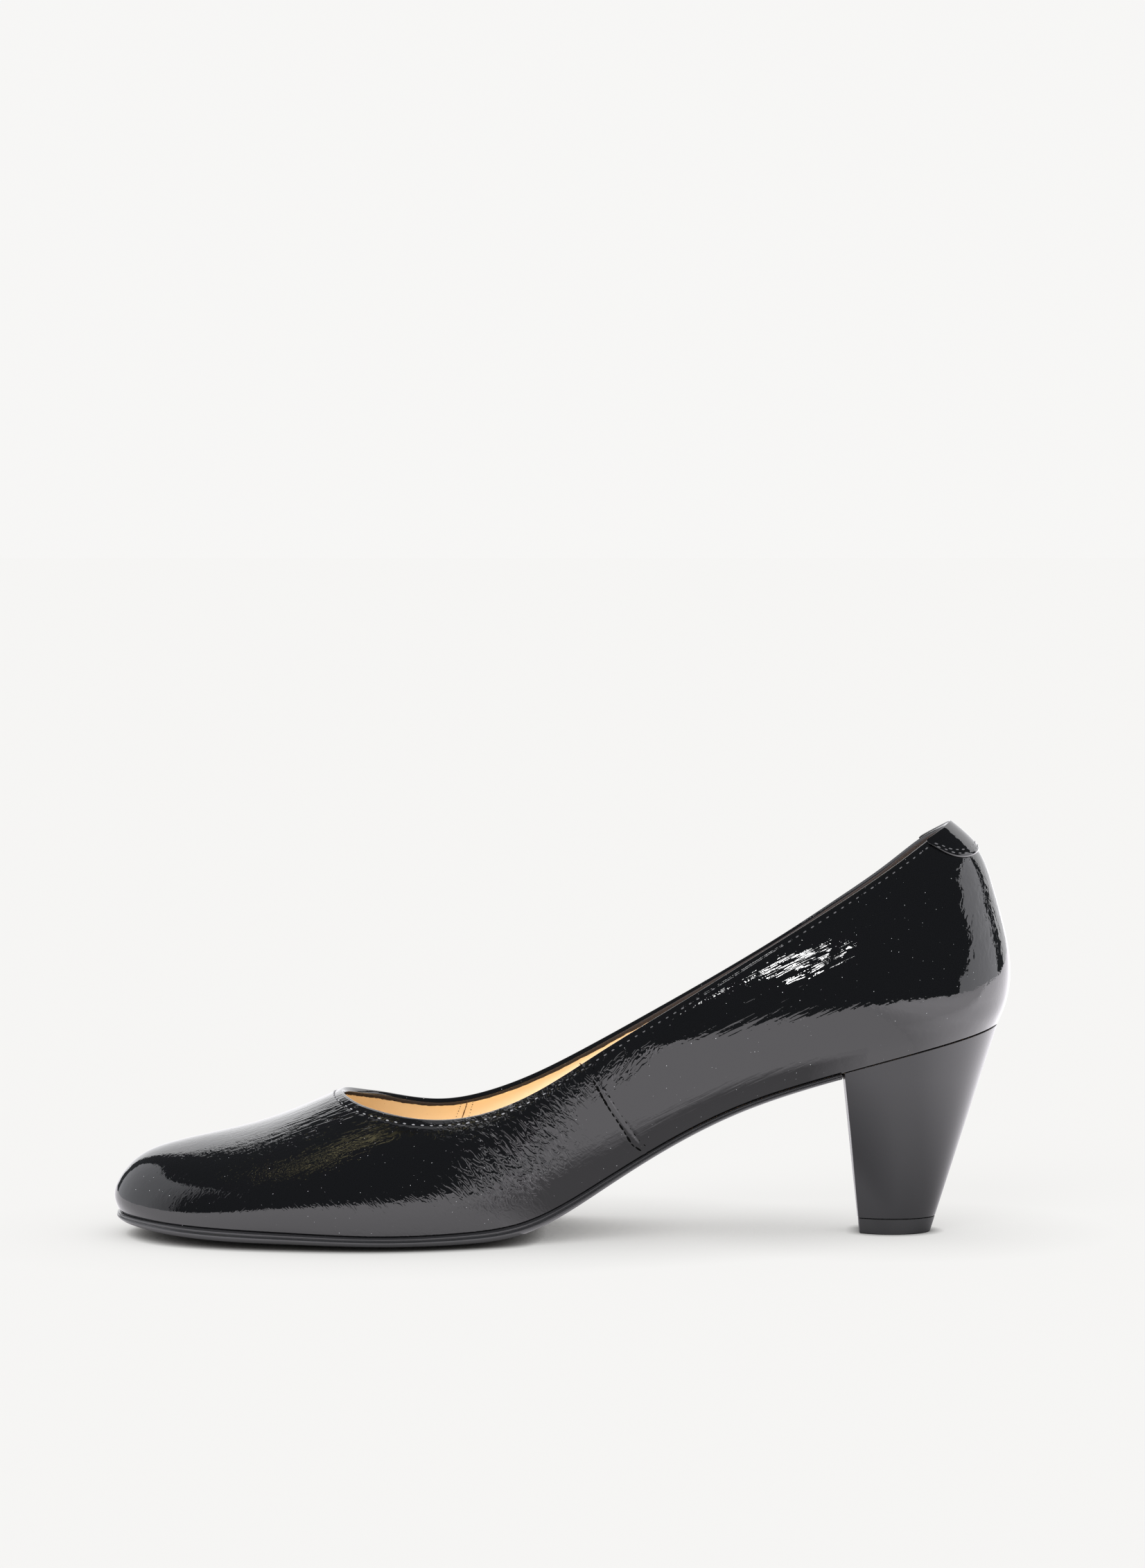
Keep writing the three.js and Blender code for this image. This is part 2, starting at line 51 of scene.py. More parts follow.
# along, inner, outer, rise, spring: one row a rib, from the toe to the back seam
featherRows = [
    (0.0056, 0.000, 0.000, 0.000, 1.00), (0.0130, 0.119, 0.119, 0.000, 0.96),
    (0.0340, 0.225, 0.225, 0.000, 0.86), (0.0726, 0.325, 0.331, 0.000, 0.64),
    (0.1330, 0.4075, 0.419, 0.000, 0.38), (0.2100, 0.461, 0.472, 0.000, 0.12),
    (0.2980, 0.480, 0.490, 0.000, -0.18), (0.3870, 0.431, 0.480, 0.000, 0.00),
    (0.4640, 0.3475, 0.436, 0.052, 0.00), (0.5400, 0.283, 0.381, 0.231, 0.00),
    (0.6170, 0.257, 0.344, 0.440, 0.00), (0.6935, 0.259, 0.3225, 0.612, 0.00),
    (0.7700, 0.280, 0.315, 0.735, 0.00), (0.8390, 0.295, 0.310, 0.8265, 0.00),
    (0.9000, 0.285, 0.2875, 0.902, 0.00), (0.9480, 0.2225, 0.225, 0.958, 0.00),
    (0.9750, 0.122, 0.122, 0.990, 0.00), (0.9843, 0.000, 0.000, 1.000, 0.00),
]

# along, inner, outer, innerUp, outerUp
topRows = [
    (0.2540, 0.000, 0.000, 0.596, 0.596), (0.2565, 0.082, 0.084, 0.594, 0.594),
    (0.2640, 0.154, 0.160, 0.584, 0.585), (0.2780, 0.216, 0.228, 0.570, 0.573),
    (0.3000, 0.267, 0.286, 0.557, 0.560), (0.3306, 0.302, 0.324, 0.543, 0.540),
    (0.3710, 0.315, 0.338, 0.548, 0.540), (0.4194, 0.318, 0.344, 0.581, 0.574),
    (0.4758, 0.316, 0.338, 0.643, 0.622), (0.5403, 0.310, 0.328, 0.650, 0.600),
    (0.6089, 0.300, 0.313, 0.634, 0.571), (0.6774, 0.286, 0.297, 0.655, 0.583),
    (0.7460, 0.270, 0.280, 0.725, 0.652), (0.8065, 0.247, 0.255, 0.804, 0.746),
    (0.8589, 0.215, 0.220, 0.885, 0.841), (0.8968, 0.156, 0.158, 0.948, 0.930),
    (0.9200, 0.084, 0.085, 0.987, 0.975), (0.9290, 0.000, 0.000, 1.000, 1.000),
]

# rib, where its folds lie on the line from sole to edge, how far they swell from it
swellRows = [
    (0, (0.009, 0.071, 0.161, 0.337, 0.66), (0.056, 0.115, 0.146, 0.126, 0.039)),
    (3, (0.040, 0.120, 0.250, 0.45, 0.70), (0.035, 0.078, 0.105, 0.100, 0.062)),
    (6, (0.100, 0.270, 0.500, 0.72, 0.88), (0.068, 0.140, 0.162, 0.136, 0.075)),
    (8.6, (0.110, 0.300, 0.520, 0.80, 0.955), (0.020, 0.055, 0.084, 0.094, 0.050)),
    (10.5, (0.130, 0.300, 0.510, 0.75, 0.91), (0.054, 0.096, 0.114, 0.091, 0.046)),
    (13, (0.100, 0.240, 0.430, 0.66, 0.85), (0.070, 0.122, 0.136, 0.112, 0.062)),
    (15, (0.070, 0.170, 0.330, 0.60, 0.82), (0.064, 0.108, 0.130, 0.124, 0.086)),
    (17, (0.080, 0.220, 0.430, 0.640, 0.830), (0.058, 0.117, 0.140, 0.134, 0.107)),
]


def smoothCurve(knots, values, closed=False, endsFlat=False):
    knots, values = np.asarray(knots, float), np.asarray(values, float)
    count, steps = len(values), np.diff(knots)
    grid, turns = np.zeros((count, count)), np.zeros(values.shape)
    for i in range(0 if closed else 1, count if closed else count - 1):
        before, after, nxt = steps[i - 1], steps[i], (i + 1) % count
        grid[i, i - 1] += before
        grid[i, i] += 2 * (before + after)
        grid[i, nxt] += after
        turns[i] = 6 * ((values[nxt] - values[i]) / after - (values[i] - values[i - 1]) / before)
    if not closed and endsFlat:
        grid[0, :2] = 2 * steps[0], steps[0]
        grid[-1, -2:] = steps[-1], 2 * steps[-1]
        turns[0] = 6 * (values[1] - values[0]) / steps[0]
        turns[-1] = -6 * (values[-1] - values[-2]) / steps[-1]
    elif not closed:
        grid[0, 0] = grid[-1, -1] = 1  # straight ends
    bends = np.linalg.solve(grid, turns)
    if closed:
        values = np.concatenate([values, values[:1]])
        bends = np.concatenate([bends, bends[:1]])

    def curve(where):
        where = np.asarray(where, float)
        if closed:
            where = knots[0] + (where - knots[0]) % (knots[-1] - knots[0])
        i = np.clip(np.searchsorted(knots, where, side="right") - 1, 0, len(knots) - 2)
        step = knots[i + 1] - knots[i]
        b = (where - knots[i]) / step
        a = 1 - b
        if values.ndim > 1:
            step, a, b = step[..., None], a[..., None], b[..., None]
        bow = (a ** 3 - a) * bends[i] + (b ** 3 - b) * bends[i + 1]
        return a * values[i] + b * values[i + 1] + bow * step * step / 6

    return curve


def aroundCurve(inner, outer):
    values = list(inner) + list(outer[-2:0:-1])
    return smoothCurve(np.arange(len(values) + 1), values, closed=True)


def unit(vectors):
    return vectors / np.maximum(np.linalg.norm(vectors, axis=-1, keepdims=True), 1e-9)


feather, top = np.array(featherRows), np.array(topRows)
ribCount = 2 * last["ribs"]
featherLift = (last["ballRest"] + feather[:, 3] * (last["seatHeight"] - last["ballRest"])
               + feather[:, 4] * last["toeSpring"])


def aroundLine(rows):
    x = (rows[:, 0] - 0.5) * last["length"]
    inner = -rows[:, 1] * last["ballWidth"] - last["axisOffset"]
    outer = rows[:, 2] * last["ballWidth"] - last["axisOffset"]
    return aroundCurve(x, x), aroundCurve(inner, outer)


featherX, featherY = aroundLine(feather)
featherZ = aroundCurve(featherLift, featherLift)
topX, topY = aroundLine(top)
topUp = aroundCurve(top[:, 3], top[:, 4])
foldAt = smoothCurve([r[0] for r in swellRows], [r[1] for r in swellRows], endsFlat=True)
foldSwell = smoothCurve([r[0] for r in swellRows], [r[2] for r in swellRows], endsFlat=True)


def featherPoint(rib):
    return np.stack([featherX(rib), featherY(rib), featherZ(rib)], -1)


def featherOut(rib, step=0.05):
    along = featherPoint(rib + step) - featherPoint(rib - step)
    return unit(np.stack([along[..., 1], -along[..., 0], 0 * along[..., 0]], -1))


def ribPoints(ribs):
    foot = featherPoint(ribs)
    head = np.stack([topX(ribs), topY(ribs), featherZ(ribs) + topUp(ribs) * last["counterHeight"]], -1)
    line = head - foot
    reach = np.linalg.norm(line, axis=1, keepdims=True)
    out = featherOut(ribs)
    out = unit(out - (out * line / reach).sum(1, keepdims=True) * line / reach)
    side = ribs % ribCount
    side = np.where(side > last["ribs"], ribCount - side, side)
    folds = (foot[:, None] + foldAt(side)[:, :, None] * line[:, None]
             + foldSwell(side)[:, :, None] * reach[:, None] * out[:, None])
    return np.concatenate([foot[:, None], folds, head[:, None]], 1)


# The skin is known on dense ribs, and between them by a closed curve through each level
denseRibs = np.arange(0, ribCount, 1 / 6)
denseKnots = np.arange(len(denseRibs) + 1) / 6
densePoints = ribPoints(denseRibs)
denseChords = np.concatenate([np.zeros((len(denseRibs), 1)), np.cumsum(
    np.linalg.norm(np.diff(densePoints, axis=1), axis=2), axis=1)], 1)
denseCurves = [smoothCurve(k, p) for k, p in zip(denseChords, densePoints)]
ribHeight = smoothCurve(denseKnots, denseChords[:, -1], closed=True)


def skinAt(ribs, shares):
    # both are grids of stations by levels
    points = np.zeros(ribs.shape + (3,))
    for k in range(ribs.shape[1]):
        levels = np.interp(denseRibs, ribs[:, k], shares[:, k], period=ribCount)
        column = np.array([f(s * c[-1]) for f, s, c in zip(denseCurves, levels, denseChords)])
        points[:, k] = smoothCurve(denseKnots, column, closed=True)(ribs[:, k])
    return points


def ribLine(rib, shares):
    line = ribPoints(np.array([rib]))[0]
    knots = np.concatenate([[0], np.cumsum(np.linalg.norm(np.diff(line, axis=0), axis=1))])
    return smoothCurve(knots, line)(shares * knots[-1])


def gridNormals(points):
    around = np.roll(points, -1, 0) - np.roll(points, 1, 0)
    return unit(np.cross(around, np.gradient(points, axis=1)))


def makeMesh(name, points, faces, material, smooth=True):
    mesh = bpy.data.meshes.new(name)
    mesh.from_pydata([tuple(p) for p in np.asarray(points) * 0.001], [], [tuple(f) for f in faces])
    work = bmesh.new()
    work.from_mesh(mesh)
    bmesh.ops.remove_doubles(work, verts=work.verts, dist=1e-7)
    bmesh.ops.recalc_face_normals(work, faces=work.faces)
    work.to_mesh(mesh)
    work.free()
    mesh.polygons.foreach_set("use_smooth", [smooth] * len(mesh.polygons))
    mesh.materials.append(material)
    piece = bpy.data.objects.new(name, mesh)
    bpy.context.scene.collection.objects.link(piece)
    return piece


def ringFaces(stations, ring, closed=True):
    i, k = np.meshgrid(np.arange(stations if closed else stations - 1), np.arange(ring), indexing="ij")
    j, up = (i + 1) % stations, (k + 1) % ring
    return np.stack([i * ring + k, j * ring + k, j * ring + up, i * ring + up], -1).reshape(-1, 4)


# Nodes and materials. A value given to a node is a number, a colour or another node's output.
def newMaterial(name):
    material = bpy.data.materials.new(name)
    material.use_nodes = True
    return material, material.node_tree, material.node_tree.nodes["Principled BSDF"]


def join(tree, value, socket):
    if isinstance(value, bpy.types.NodeSocket):
        tree.links.new(value, socket)
    else:
        socket.default_value = value


def setInputs(tree, node, values):
    for name, value in values.items():
        join(tree, value, node.inputs[name])


def addNode(tree, kind, **settings):
    node = tree.nodes.new(kind)
    for name, value in settings.items():
        if name in node.inputs:
            join(tree, value, node.inputs[name])
        else:
            setattr(node, name, value)
    return node


def addNoise(tree, vector, scale, stretch=(1, 1, 1), turn=0.0, detail=2.0, distortion=0.0):
    # turned about Y first, so that the stretch runs along a line which rises by that angle
    turned = addNode(tree, "ShaderNodeMapping", Vector=vector, Rotation=(0, math.radians(turn), 0))
    place = addNode(tree, "ShaderNodeMapping", Vector=turned.outputs[0], Scale=stretch)
    return addNode(tree, "ShaderNodeTexNoise", Vector=place.outputs[0], Scale=scale, Detail=detail,
                   Distortion=distortion).outputs["Fac"]


def mathNode(tree, operation, first, second, clamp=False):
    node = addNode(tree, "ShaderNodeMath", operation=operation, use_clamp=clamp)
    join(tree, first, node.inputs[0])
    join(tree, second, node.inputs[1])
    return node.outputs[0]


def times(tree, first, second):
    return mathNode(tree, "MULTIPLY", first, second)


def mixColours(tree, share, first, second):
    node = addNode(tree, "ShaderNodeMix", data_type="RGBA")
    for socket, value in ((0, share), (6, first), (7, second)):
        join(tree, value, node.inputs[socket])
    return node.outputs[2]


def mapRange(tree, value, limits):
    node = addNode(tree, "ShaderNodeMapRange", Value=value)
    setInputs(tree, node, dict(zip(("From Min", "From Max", "To Min", "To Max"), limits)))
    return node.outputs["Result"]


def attribute(tree, name):
    return addNode(tree, "ShaderNodeAttribute", attribute_name=name).outputs["Fac"]


def objectPlace(tree):
    return addNode(tree, "ShaderNodeTexCoord").outputs["Object"]


def addBump(tree, height, depth):
    return addNode(tree, "ShaderNodeBump", Strength=1.0, Distance=depth, Height=height).outputs["Normal"]


def specks(tree, vector, scale, size, share):
    # small dots, a share of the cells, each with its own brightness
    dots = addNode(tree, "ShaderNodeTexVoronoi", Vector=vector, Scale=scale, Randomness=1.0)
    some = addNode(tree, "ShaderNodeSeparateColor", Color=dots.outputs["Color"])
    near = mathNode(tree, "LESS_THAN", dots.outputs["Distance"], size)
    pick = mathNode(tree, "LESS_THAN", some.outputs[0], share)
    return times(tree, times(tree, near, pick), mathNode(tree, "POWER", some.outputs[1], 2.4))


patentValues = {
    "black": (0.0012, 0.0013, 0.0017, 1), "bare": (0.05, 0.046, 0.05, 1), "roughness": 0.3,
    "coatIor": 1.82, "coatRoughness": 0.018,
    "dust": (0.75, 0.76, 0.80, 1), "dustScale": 1050.0, "dustSize": 0.085, "dustShare": 0.3,
    "peel": 0.000016, "peelScale": 430.0, "fine": 0.000006, "fineScale": 1300.0,
    # fine lines in each part of the shoe: angle in the side view, lines per metre, stretch, depth,
    # how sharply they are creased, how much they wander
    "lines": {
        "vampLines": (29, 900, 0.08, 0.00012, 0.0, 0.8),
        "fallLines": (-48, 680, 0.33, 0.00013, 0.85, 1.1),
        "riseLines": (55, 700, 0.33, 0.00010, 0.6, 1.0),
        "quarterLines": (27, 1000, 0.075, 0.00010, 0.0, 0.35),
        "backLines": (58, 700, 0.12, 0.00010, 0.0, 0.6),
    },
    "creaseSteep": 5.5,
}


def patentLeather(name, values):
    material, tree, shader = newMaterial(name)
    place = objectPlace(tree)
    dust = specks(tree, place, values["dustScale"], values["dustSize"], values["dustShare"])
    bare = attribute(tree, "bare")
    black = mixColours(tree, dust, values["black"], values["dust"])
    height = 0.0
    for relief in ("peel", "fine"):
        grain = addNoise(tree, place, values[relief + "Scale"], detail=1.0)
        height = mathNode(tree, "ADD", height, times(tree, grain, values[relief] * 2))
    for mask, (angle, scale, stretch, depth, creased, wander) in values["lines"].items():
        folds = addNoise(tree, place, scale, (stretch, 1, 1), angle, 1.5, wander)
        if creased:
            # narrow grooves where the noise crosses its middle, flat between them
            far = mathNode(tree, "ABSOLUTE", mathNode(tree, "SUBTRACT", folds, 0.5), 0.0)
            flat = mathNode(tree, "MULTIPLY", far, values["creaseSteep"], clamp=True)
            folds = mathNode(tree, "ADD", times(tree, folds, 1 - creased), times(tree, flat, creased))
        folds = times(tree, times(tree, folds, depth * 2), attribute(tree, mask))
        height = mathNode(tree, "ADD", height, folds)
    normal = addBump(tree, height, 1.0)
    shader.inputs["Coat Weight"].default_value = 1.0
    setInputs(tree, shader, {
        "Base Color": mixColours(tree, bare, black, values["bare"]), "Roughness": values["roughness"],
        "Specular IOR Level": 0.0, "Coat IOR": values["coatIor"], "Coat Roughness": values["coatRoughness"],
        "Coat Weight": mathNode(tree, "SUBTRACT", 1.0, mathNode(tree, "MAXIMUM", dust, bare)),
        "Normal": normal, "Coat Normal": normal})
    return material


liningValues = {
    "tan": (0.98, 0.84, 0.62, 1), "shade": (0.96, 0.79, 0.55, 1), "pore": (0.62, 0.38, 0.18, 1),
    "roughness": 0.5, "grain": 0.00003, "grainScale": 1100.0, "cloudScale": 70.0,
    "poreScale": 520.0, "poreSize": 0.09, "poreShare": 0.3,
}


def tanLining(name, values):
    material, tree, shader = newMaterial(name)
    place = objectPlace(tree)
    clouds = addNoise(tree, place, values["cloudScale"], detail=4.0)
    pores = specks(tree, place, values["poreScale"], values["poreSize"], values["poreShare"])
    grain = addNoise(tree, place, values["grainScale"], detail=3.0)
    tan = mixColours(tree, clouds, values["tan"], values["shade"])
    setInputs(tree, shader, {
        "Base Color": mixColours(tree, pores, tan, values["pore"]), "Roughness": values["roughness"],
        "Normal": addBump(tree, grain, values["grain"])})
    return material


def moulded(name, values):
    material, tree, shader = newMaterial(name)
    place = objectPlace(tree)
    streaks = addNoise(tree, place, values["streakScale"], values["streakStretch"], detail=3.0)
    grain = addNoise(tree, place, values["grainScale"], values["streakStretch"], detail=2.0)
    colour = mixColours(tree, streaks, values["dark"], values["light"])
    dull = mapRange(tree, streaks, (0, 1, values["roughness"] * 0.85, values["roughness"] * 1.2))
    if "under" in values:
        # bare leather on the underside
        under = attribute(tree, "under")
        colour = mixColours(tree, under, colour, values["under"])
        dull = mathNode(tree, "MAXIMUM", dull, times(tree, under, values["underRoughness"]))
    setInputs(tree, shader, {
        "Base Color": colour, "Roughness": dull, "Specular IOR Level": values["specular"],
        "IOR": values.get("ior", 1.5), "Normal": addBump(tree, grain, values["grain"])})
    if "rise" in values:
        # painted shade: the shine rises with height, so that the reflection darkens towards the floor; a low
        # and a high place in metres, and the shine at each
        up = addNode(tree, "ShaderNodeSeparateXYZ", Vector=place).outputs["Z"]
        join(tree, mapRange(tree, up, values["rise"]), shader.inputs["Specular IOR Level"])
    return material


def gray(darkness, blueness=0.0):
    return (darkness, darkness, darkness + blueness, 1)


patent = patentLeather("patentLeather", patentValues)
patentEdge = patentLeather("patentTrim", patentValues)
lining = tanLining("tanLining", liningValues)
sockLeather = tanLining("sockLeather", {**liningValues, "tan": (0.8, 0.5, 0.21, 1), "roughness": 0.45})
soleBlack = moulded("soleBlack", {
    "dark": gray(0.010, 0.001), "light": gray(0.020, 0.002), "under": (0.60, 0.47, 0.37, 1),
    "roughness": 0.22, "underRoughness": 0.75, "specular": 0.9, "ior": 1.6,
    "streakScale": 60.0, "streakStretch": (0.3, 1, 3), "grain": 0.00002, "grainScale": 700.0})
heelBlack = moulded("heelBlack", {
    "dark": gray(0.012, 0.001), "light": gray(0.018, 0.002), "roughness": 0.24, "specular": 0.5, "ior": 1.62,
    # painted shade: less shine near the floor, so the heel's reflection darkens towards the bottom
    "rise": (0.004, 0.044, 0.24, 0.56),
    "streakScale": 50.0, "streakStretch": (1, 1, 0.2), "grain": 0.000006, "grainScale": 500.0})
rubberBlack = moulded("rubberBlack", {
    "dark": gray(0.015, 0.001), "light": gray(0.03, 0.002), "roughness": 0.42, "specular": 0.25,
    "streakScale": 90.0, "streakStretch": (1, 1, 1), "grain": 0.00003, "grainScale": 900.0})
thread = {"streakScale": 900.0, "streakStretch": (1, 1, 1), "grain": 0.00001, "grainScale": 2500.0}
# one black thread in two copies: the lighter one at the throat paints the stitches' glints, the darker one
# sews the quarters and the tab
threadPaintedGlint = moulded("threadPaintedGlint", {
    **thread, "dark": gray(0.10, 0.01), "light": gray(0.36, 0.02),
    "roughness": 0.2, "specular": 1.0, "ior": 1.8})
threadDim = moulded("threadDim", {
    **thread, "dark": gray(0.03, 0.002), "light": gray(0.12, 0.01),
    "roughness": 0.3, "specular": 0.6, "ior": 1.6})
threadTan = moulded("threadTan", {
    **thread, "dark": (0.10, 0.05, 0.02, 1), "light": (0.22, 0.12, 0.05, 1),
    "roughness": 0.6, "specular": 0.3, "grain": 0.00002})
# near black and without shine: painted shade in the needle holes of the top edge; the side seams' stitches
# are made of it too
pinhole = moulded("pinhole", {
    **thread, "dark": gray(0.002), "light": gray(0.004), "roughness": 0.9, "specular": 0.0, "grain": 0.0})
print("stage 2: materials made")

# The patent upper: outer skin, edge turned over the rim, hidden back
upperValues = {
    "stations": 612, "levels": 74,
    "edgeRows": (0.9, 1.02, 1.14, 1.26, 1.38, 1.5, 1.64, 1.8, 2.0, 2.25, 2.6, 3.1, 3.8, 4.7),
    "edgeRadius": 0.9, "edgeSquare": 0.62, "edgeTurn": 12,
    # how far the edge runs down inside, in which steps, from which row on it is bare, and its last row
    "turnedIn": 0.85, "turnedRows": (0.25, 0.55, 0.85, 1.0), "bareRow": 11, "turnedFoot": (0.5, 0.1),
    "hiddenDepth": 1.0, "hiddenFoot": 0.35, "hiddenDrop": 0.22, "hiddenLevels": 9,
    # rib and how far below the edge it is sewn there
    "stitchDown": ((0, 3, 7, 9, 17), (2.5, 3.2, 3.1, 2.1, 1.85)), "stitchGroove": 0.13, "grooveWidth": 0.22,
    # rib at the top of each side seam, and how many ribs further its foot lies, nearer the heel
    "sideSeams": ((8.70, 0.94), (23.25, -0.88)), "seamReach": 2.2, "seamStations": 64,
    "seamZone": 0.42, "seamWidth": 0.5, "seamLine": 0.2, "seamRise": 0.3, "seamGroove": 0.24,
}


def seamWindow(station, centre):
    far = np.abs((station - centre + ribCount / 2) % ribCount - ribCount / 2) / upperValues["seamReach"]
    return np.where(far < 1, 0.5 + 0.5 * np.cos(np.pi * np.minimum(far, 1)), 0)


def upperStations():
    plain = np.arange(upperValues["stations"]) * ribCount / upperValues["stations"]
    zone = upperValues["seamZone"]
    for centre, _ in upperValues["sideSeams"]:
        plain = plain[np.abs(plain - centre) > zone]
        fine = centre + np.linspace(-zone, zone, upperValues["seamStations"])
        plain = np.concatenate([plain, fine])
    return np.sort(plain)


stations = upperStations()


def leanedRibs(shares):
    ribs = np.repeat(stations[:, None], shares.shape[-1], 1)
    for centre, lean in upperValues["sideSeams"]:
        ribs = ribs + seamWindow(stations, centre)[:, None] * lean * (1 - shares)
    return ribs


def skinShares():
    height = ribHeight(stations)[:, None]
    edge = 1 - np.array(upperValues["edgeRows"][::-1])[None] / height
    low = np.linspace(0, 1, upperValues["levels"], endpoint=False)[None] * edge[:, :1]
    return np.concatenate([low, edge], 1)


shares = skinShares()
ribs = leanedRibs(shares)
skinPoints = skinAt(ribs, shares)
skinNormals = gridNormals(skinPoints)
below = (1 - shares) * ribHeight(stations)[:, None]  # distance from the top edge, along the skin
print("stage 3: skin points", skinPoints.shape)

# Where each point of the skin lies: millimetres from the toe, and below the top edge
fromToe = skinPoints[..., 0] + last["length"] / 2
onInner = skinPoints[..., 1] < -last["axisOffset"]

creases = {
    # on the leather, by side: width, depth, then (mm from the toe, mm below the edge)
    "folds": {
        "inner": (
            (0.55, 0.10, (118.7, 4.1), (121.7, 8.2)), (0.5, 0.09, (115.8, 5.6), (118.6, 9.4)),
            (0.7, 0.12, (112.7, 14.5), (117.4, 21.3)), (0.55, 0.10, (108.7, 10.4), (112.8, 14.2)),
            (0.6, 0.10, (110.5, 18.4), (114.1, 21.7)), (0.55, 0.09, (114.3, 13.9), (118.6, 18.2)),
            (0.65, 0.11, (104.9, 10.6), (109.3, 16.2)), (0.7, 0.10, (103.0, 12.2), (107.1, 19.5)),
            (0.45, 0.09, (141.4, 9.6), (139.7, 10.2)), (1.0, 0.07, (181.0, 10.7), (192.9, 13.2)),
            (1.1, 0.09, (175.4, 6.0), (186.7, 8.3), (196.7, 12.8), (207.9, 13.9)),
            (1.0, 0.06, (184.6, 4.6), (197.2, 5.5))),
        "both": (
            (0.5, 0.11, (232.6, 14.8), (235.6, 14.5)), (0.45, 0.10, (233.1, 16.3), (235.6, 16.4)),
            (0.5, 0.11, (233.9, 18.7), (236.0, 17.4)), (0.5, 0.11, (234.4, 21.6), (236.4, 19.9)),
            (0.6, 0.09, (242.1, 30.7), (244.7, 29.5))),
        "outer": (
            (0.7, 0.11, (110.5, 12.0), (116.0, 19.0)), (0.6, 0.10, (118.0, 5.0), (121.5, 9.5)),
            (0.6, 0.09, (104.0, 9.0), (109.5, 15.0)), (1.0, 0.08, (176.0, 7.0), (190.0, 11.5))),
    },
    # in space: width, depth, then (x, y, z)
    "placed": (
        (0.55, 0.10, (-75.5, -19.8, 29.8), (-66.2, -16.4, 34.6), (-59.5, -14.2, 38.0)),
        (0.6, 0.08, (-82.0, -20.9, 27.2), (-76.0, -20.0, 29.6)),
        (0.16, 0.03, (-72.0, -28.2, 26.2), (-66.8, -25.1, 29.9)),
        (0.16, 0.03, (-63.1, -25.7, 30.6), (-59.6, -24.0, 32.7)),
    ),
    # lines, side, centre (toe, below), reach (along, down), strength
    "wrinkled": (
        ("fallLines", "inner", (109, 15), (17, 15), 0.9), ("fallLines", "inner", (122, 7), (11, 6), 0.8),
        ("riseLines", "inner", (138, 8), (9, 7), 0.9), ("quarterLines", "inner", (192, 11), (30, 9), 0.75),
        ("backLines", "both", (241, 27), (7, 14), 0.8), ("backLines", "both", (230, 14), (9, 14), 0.5),
        ("fallLines", "outer", (108, 15), (20, 15), 0.9), ("riseLines", "outer", (142, 8), (12, 7), 0.7),
        ("quarterLines", "outer", (190, 11), (28, 9), 0.6), ("fallLines", "both", (80, 30), (50, 14), 0.16),
        ("quarterLines", "both", (170, 26), (44, 16), 0.30), ("riseLines", "both", (30, 40), (26, 22), 0.16),
    ),
    # lines, centre (x, y, z), reach along the lines and across them
    "wrinkledPlaces": (
        ("vampLines", (-66, -15, 35.5), 17, 8, 1.0), ("vampLines", (-84, -14, 28), 14, 6, 0.4),
        ("vampLines", (-62, -27, 29), 24, 8, 0.5)),
    # reach of a placed patch across the foot, bulge beside a trough, low waves of worn leather
    "placedReach": 14, "bulge": 0.35, "waves": 0.035,
}


def onSide(side):
    return 1.0 if side == "both" else (onInner if side == "inner" else ~onInner) * 1.0


def lineAmount(name):
    amount = np.zeros(fromToe.shape)
    for lines, side, centre, reach, strength in creases["wrinkled"]:
        if lines == name:
            far = ((fromToe - centre[0]) / reach[0]) ** 2 + ((below - centre[1]) / reach[1]) ** 2
            amount = np.maximum(amount, onSide(side) * strength * np.exp(-far ** 1.5))
    for lines, centre, along, across, strength in creases["wrinkledPlaces"]:
        if lines == name:
            turn = math.radians(patentValues["lines"][name][0])
            here = skinPoints - np.array(centre)
            run = here[..., 0] * math.cos(turn) + here[..., 2] * math.sin(turn)
            rise = here[..., 2] * math.cos(turn) - here[..., 0] * math.sin(turn)
            far = (run / along) ** 2 + (rise / across) ** 2 + (here[..., 1] / creases["placedReach"]) ** 4
            amount = np.maximum(amount, strength * np.exp(-far ** 1.5))
    return amount


def trough(places, path, width, deep):
    # a soft trough along a path of points, fading out at both ends, with a low bulge on each side
    path = np.array(path, float)
    lengths = np.linalg.norm(np.diff(path, axis=0), axis=1)
    starts = np.concatenate([[0], np.cumsum(lengths)])
    depth = np.zeros(places.shape[:-1])
    for a, b, start, length in zip(path, path[1:], starts, lengths):
        share = np.clip(((places - a) @ (b - a)) / length ** 2, 0, 1)
        far = np.linalg.norm(places - a - share[..., None] * (b - a), axis=-1)
        run = (start + share * length) / starts[-1]
        fade = np.sin(np.pi * np.clip(run, 0.03, 0.97)) ** 0.6
        bulge = creases["bulge"] * np.exp(-((far - 2 * width) / width) ** 2)
        depth = np.maximum(depth, fade * (np.exp(-(far / width) ** 2) - bulge))
    return deep * depth


def foldDepth():
    depth = np.zeros(fromToe.shape)
    leather = np.stack([fromToe, below], -1)
    for side, folds in creases["folds"].items():
        depth += onSide(side) * sum(trough(leather, path, width, deep) for width, deep, *path in folds)
    for width, deep, *path in creases["placed"]:
        depth += trough(skinPoints, path, width, deep)
    along = np.sin(fromToe * 0.71 + 1.1 * np.sin(below * 0.37))
    down = np.sin(below * 0.53 + 0.9 * np.sin(fromToe * 0.29))
    worn = sum(lineAmount(name) for name in patentValues["lines"])
    return depth + creases["waves"] * along * down * np.minimum(worn, 1)


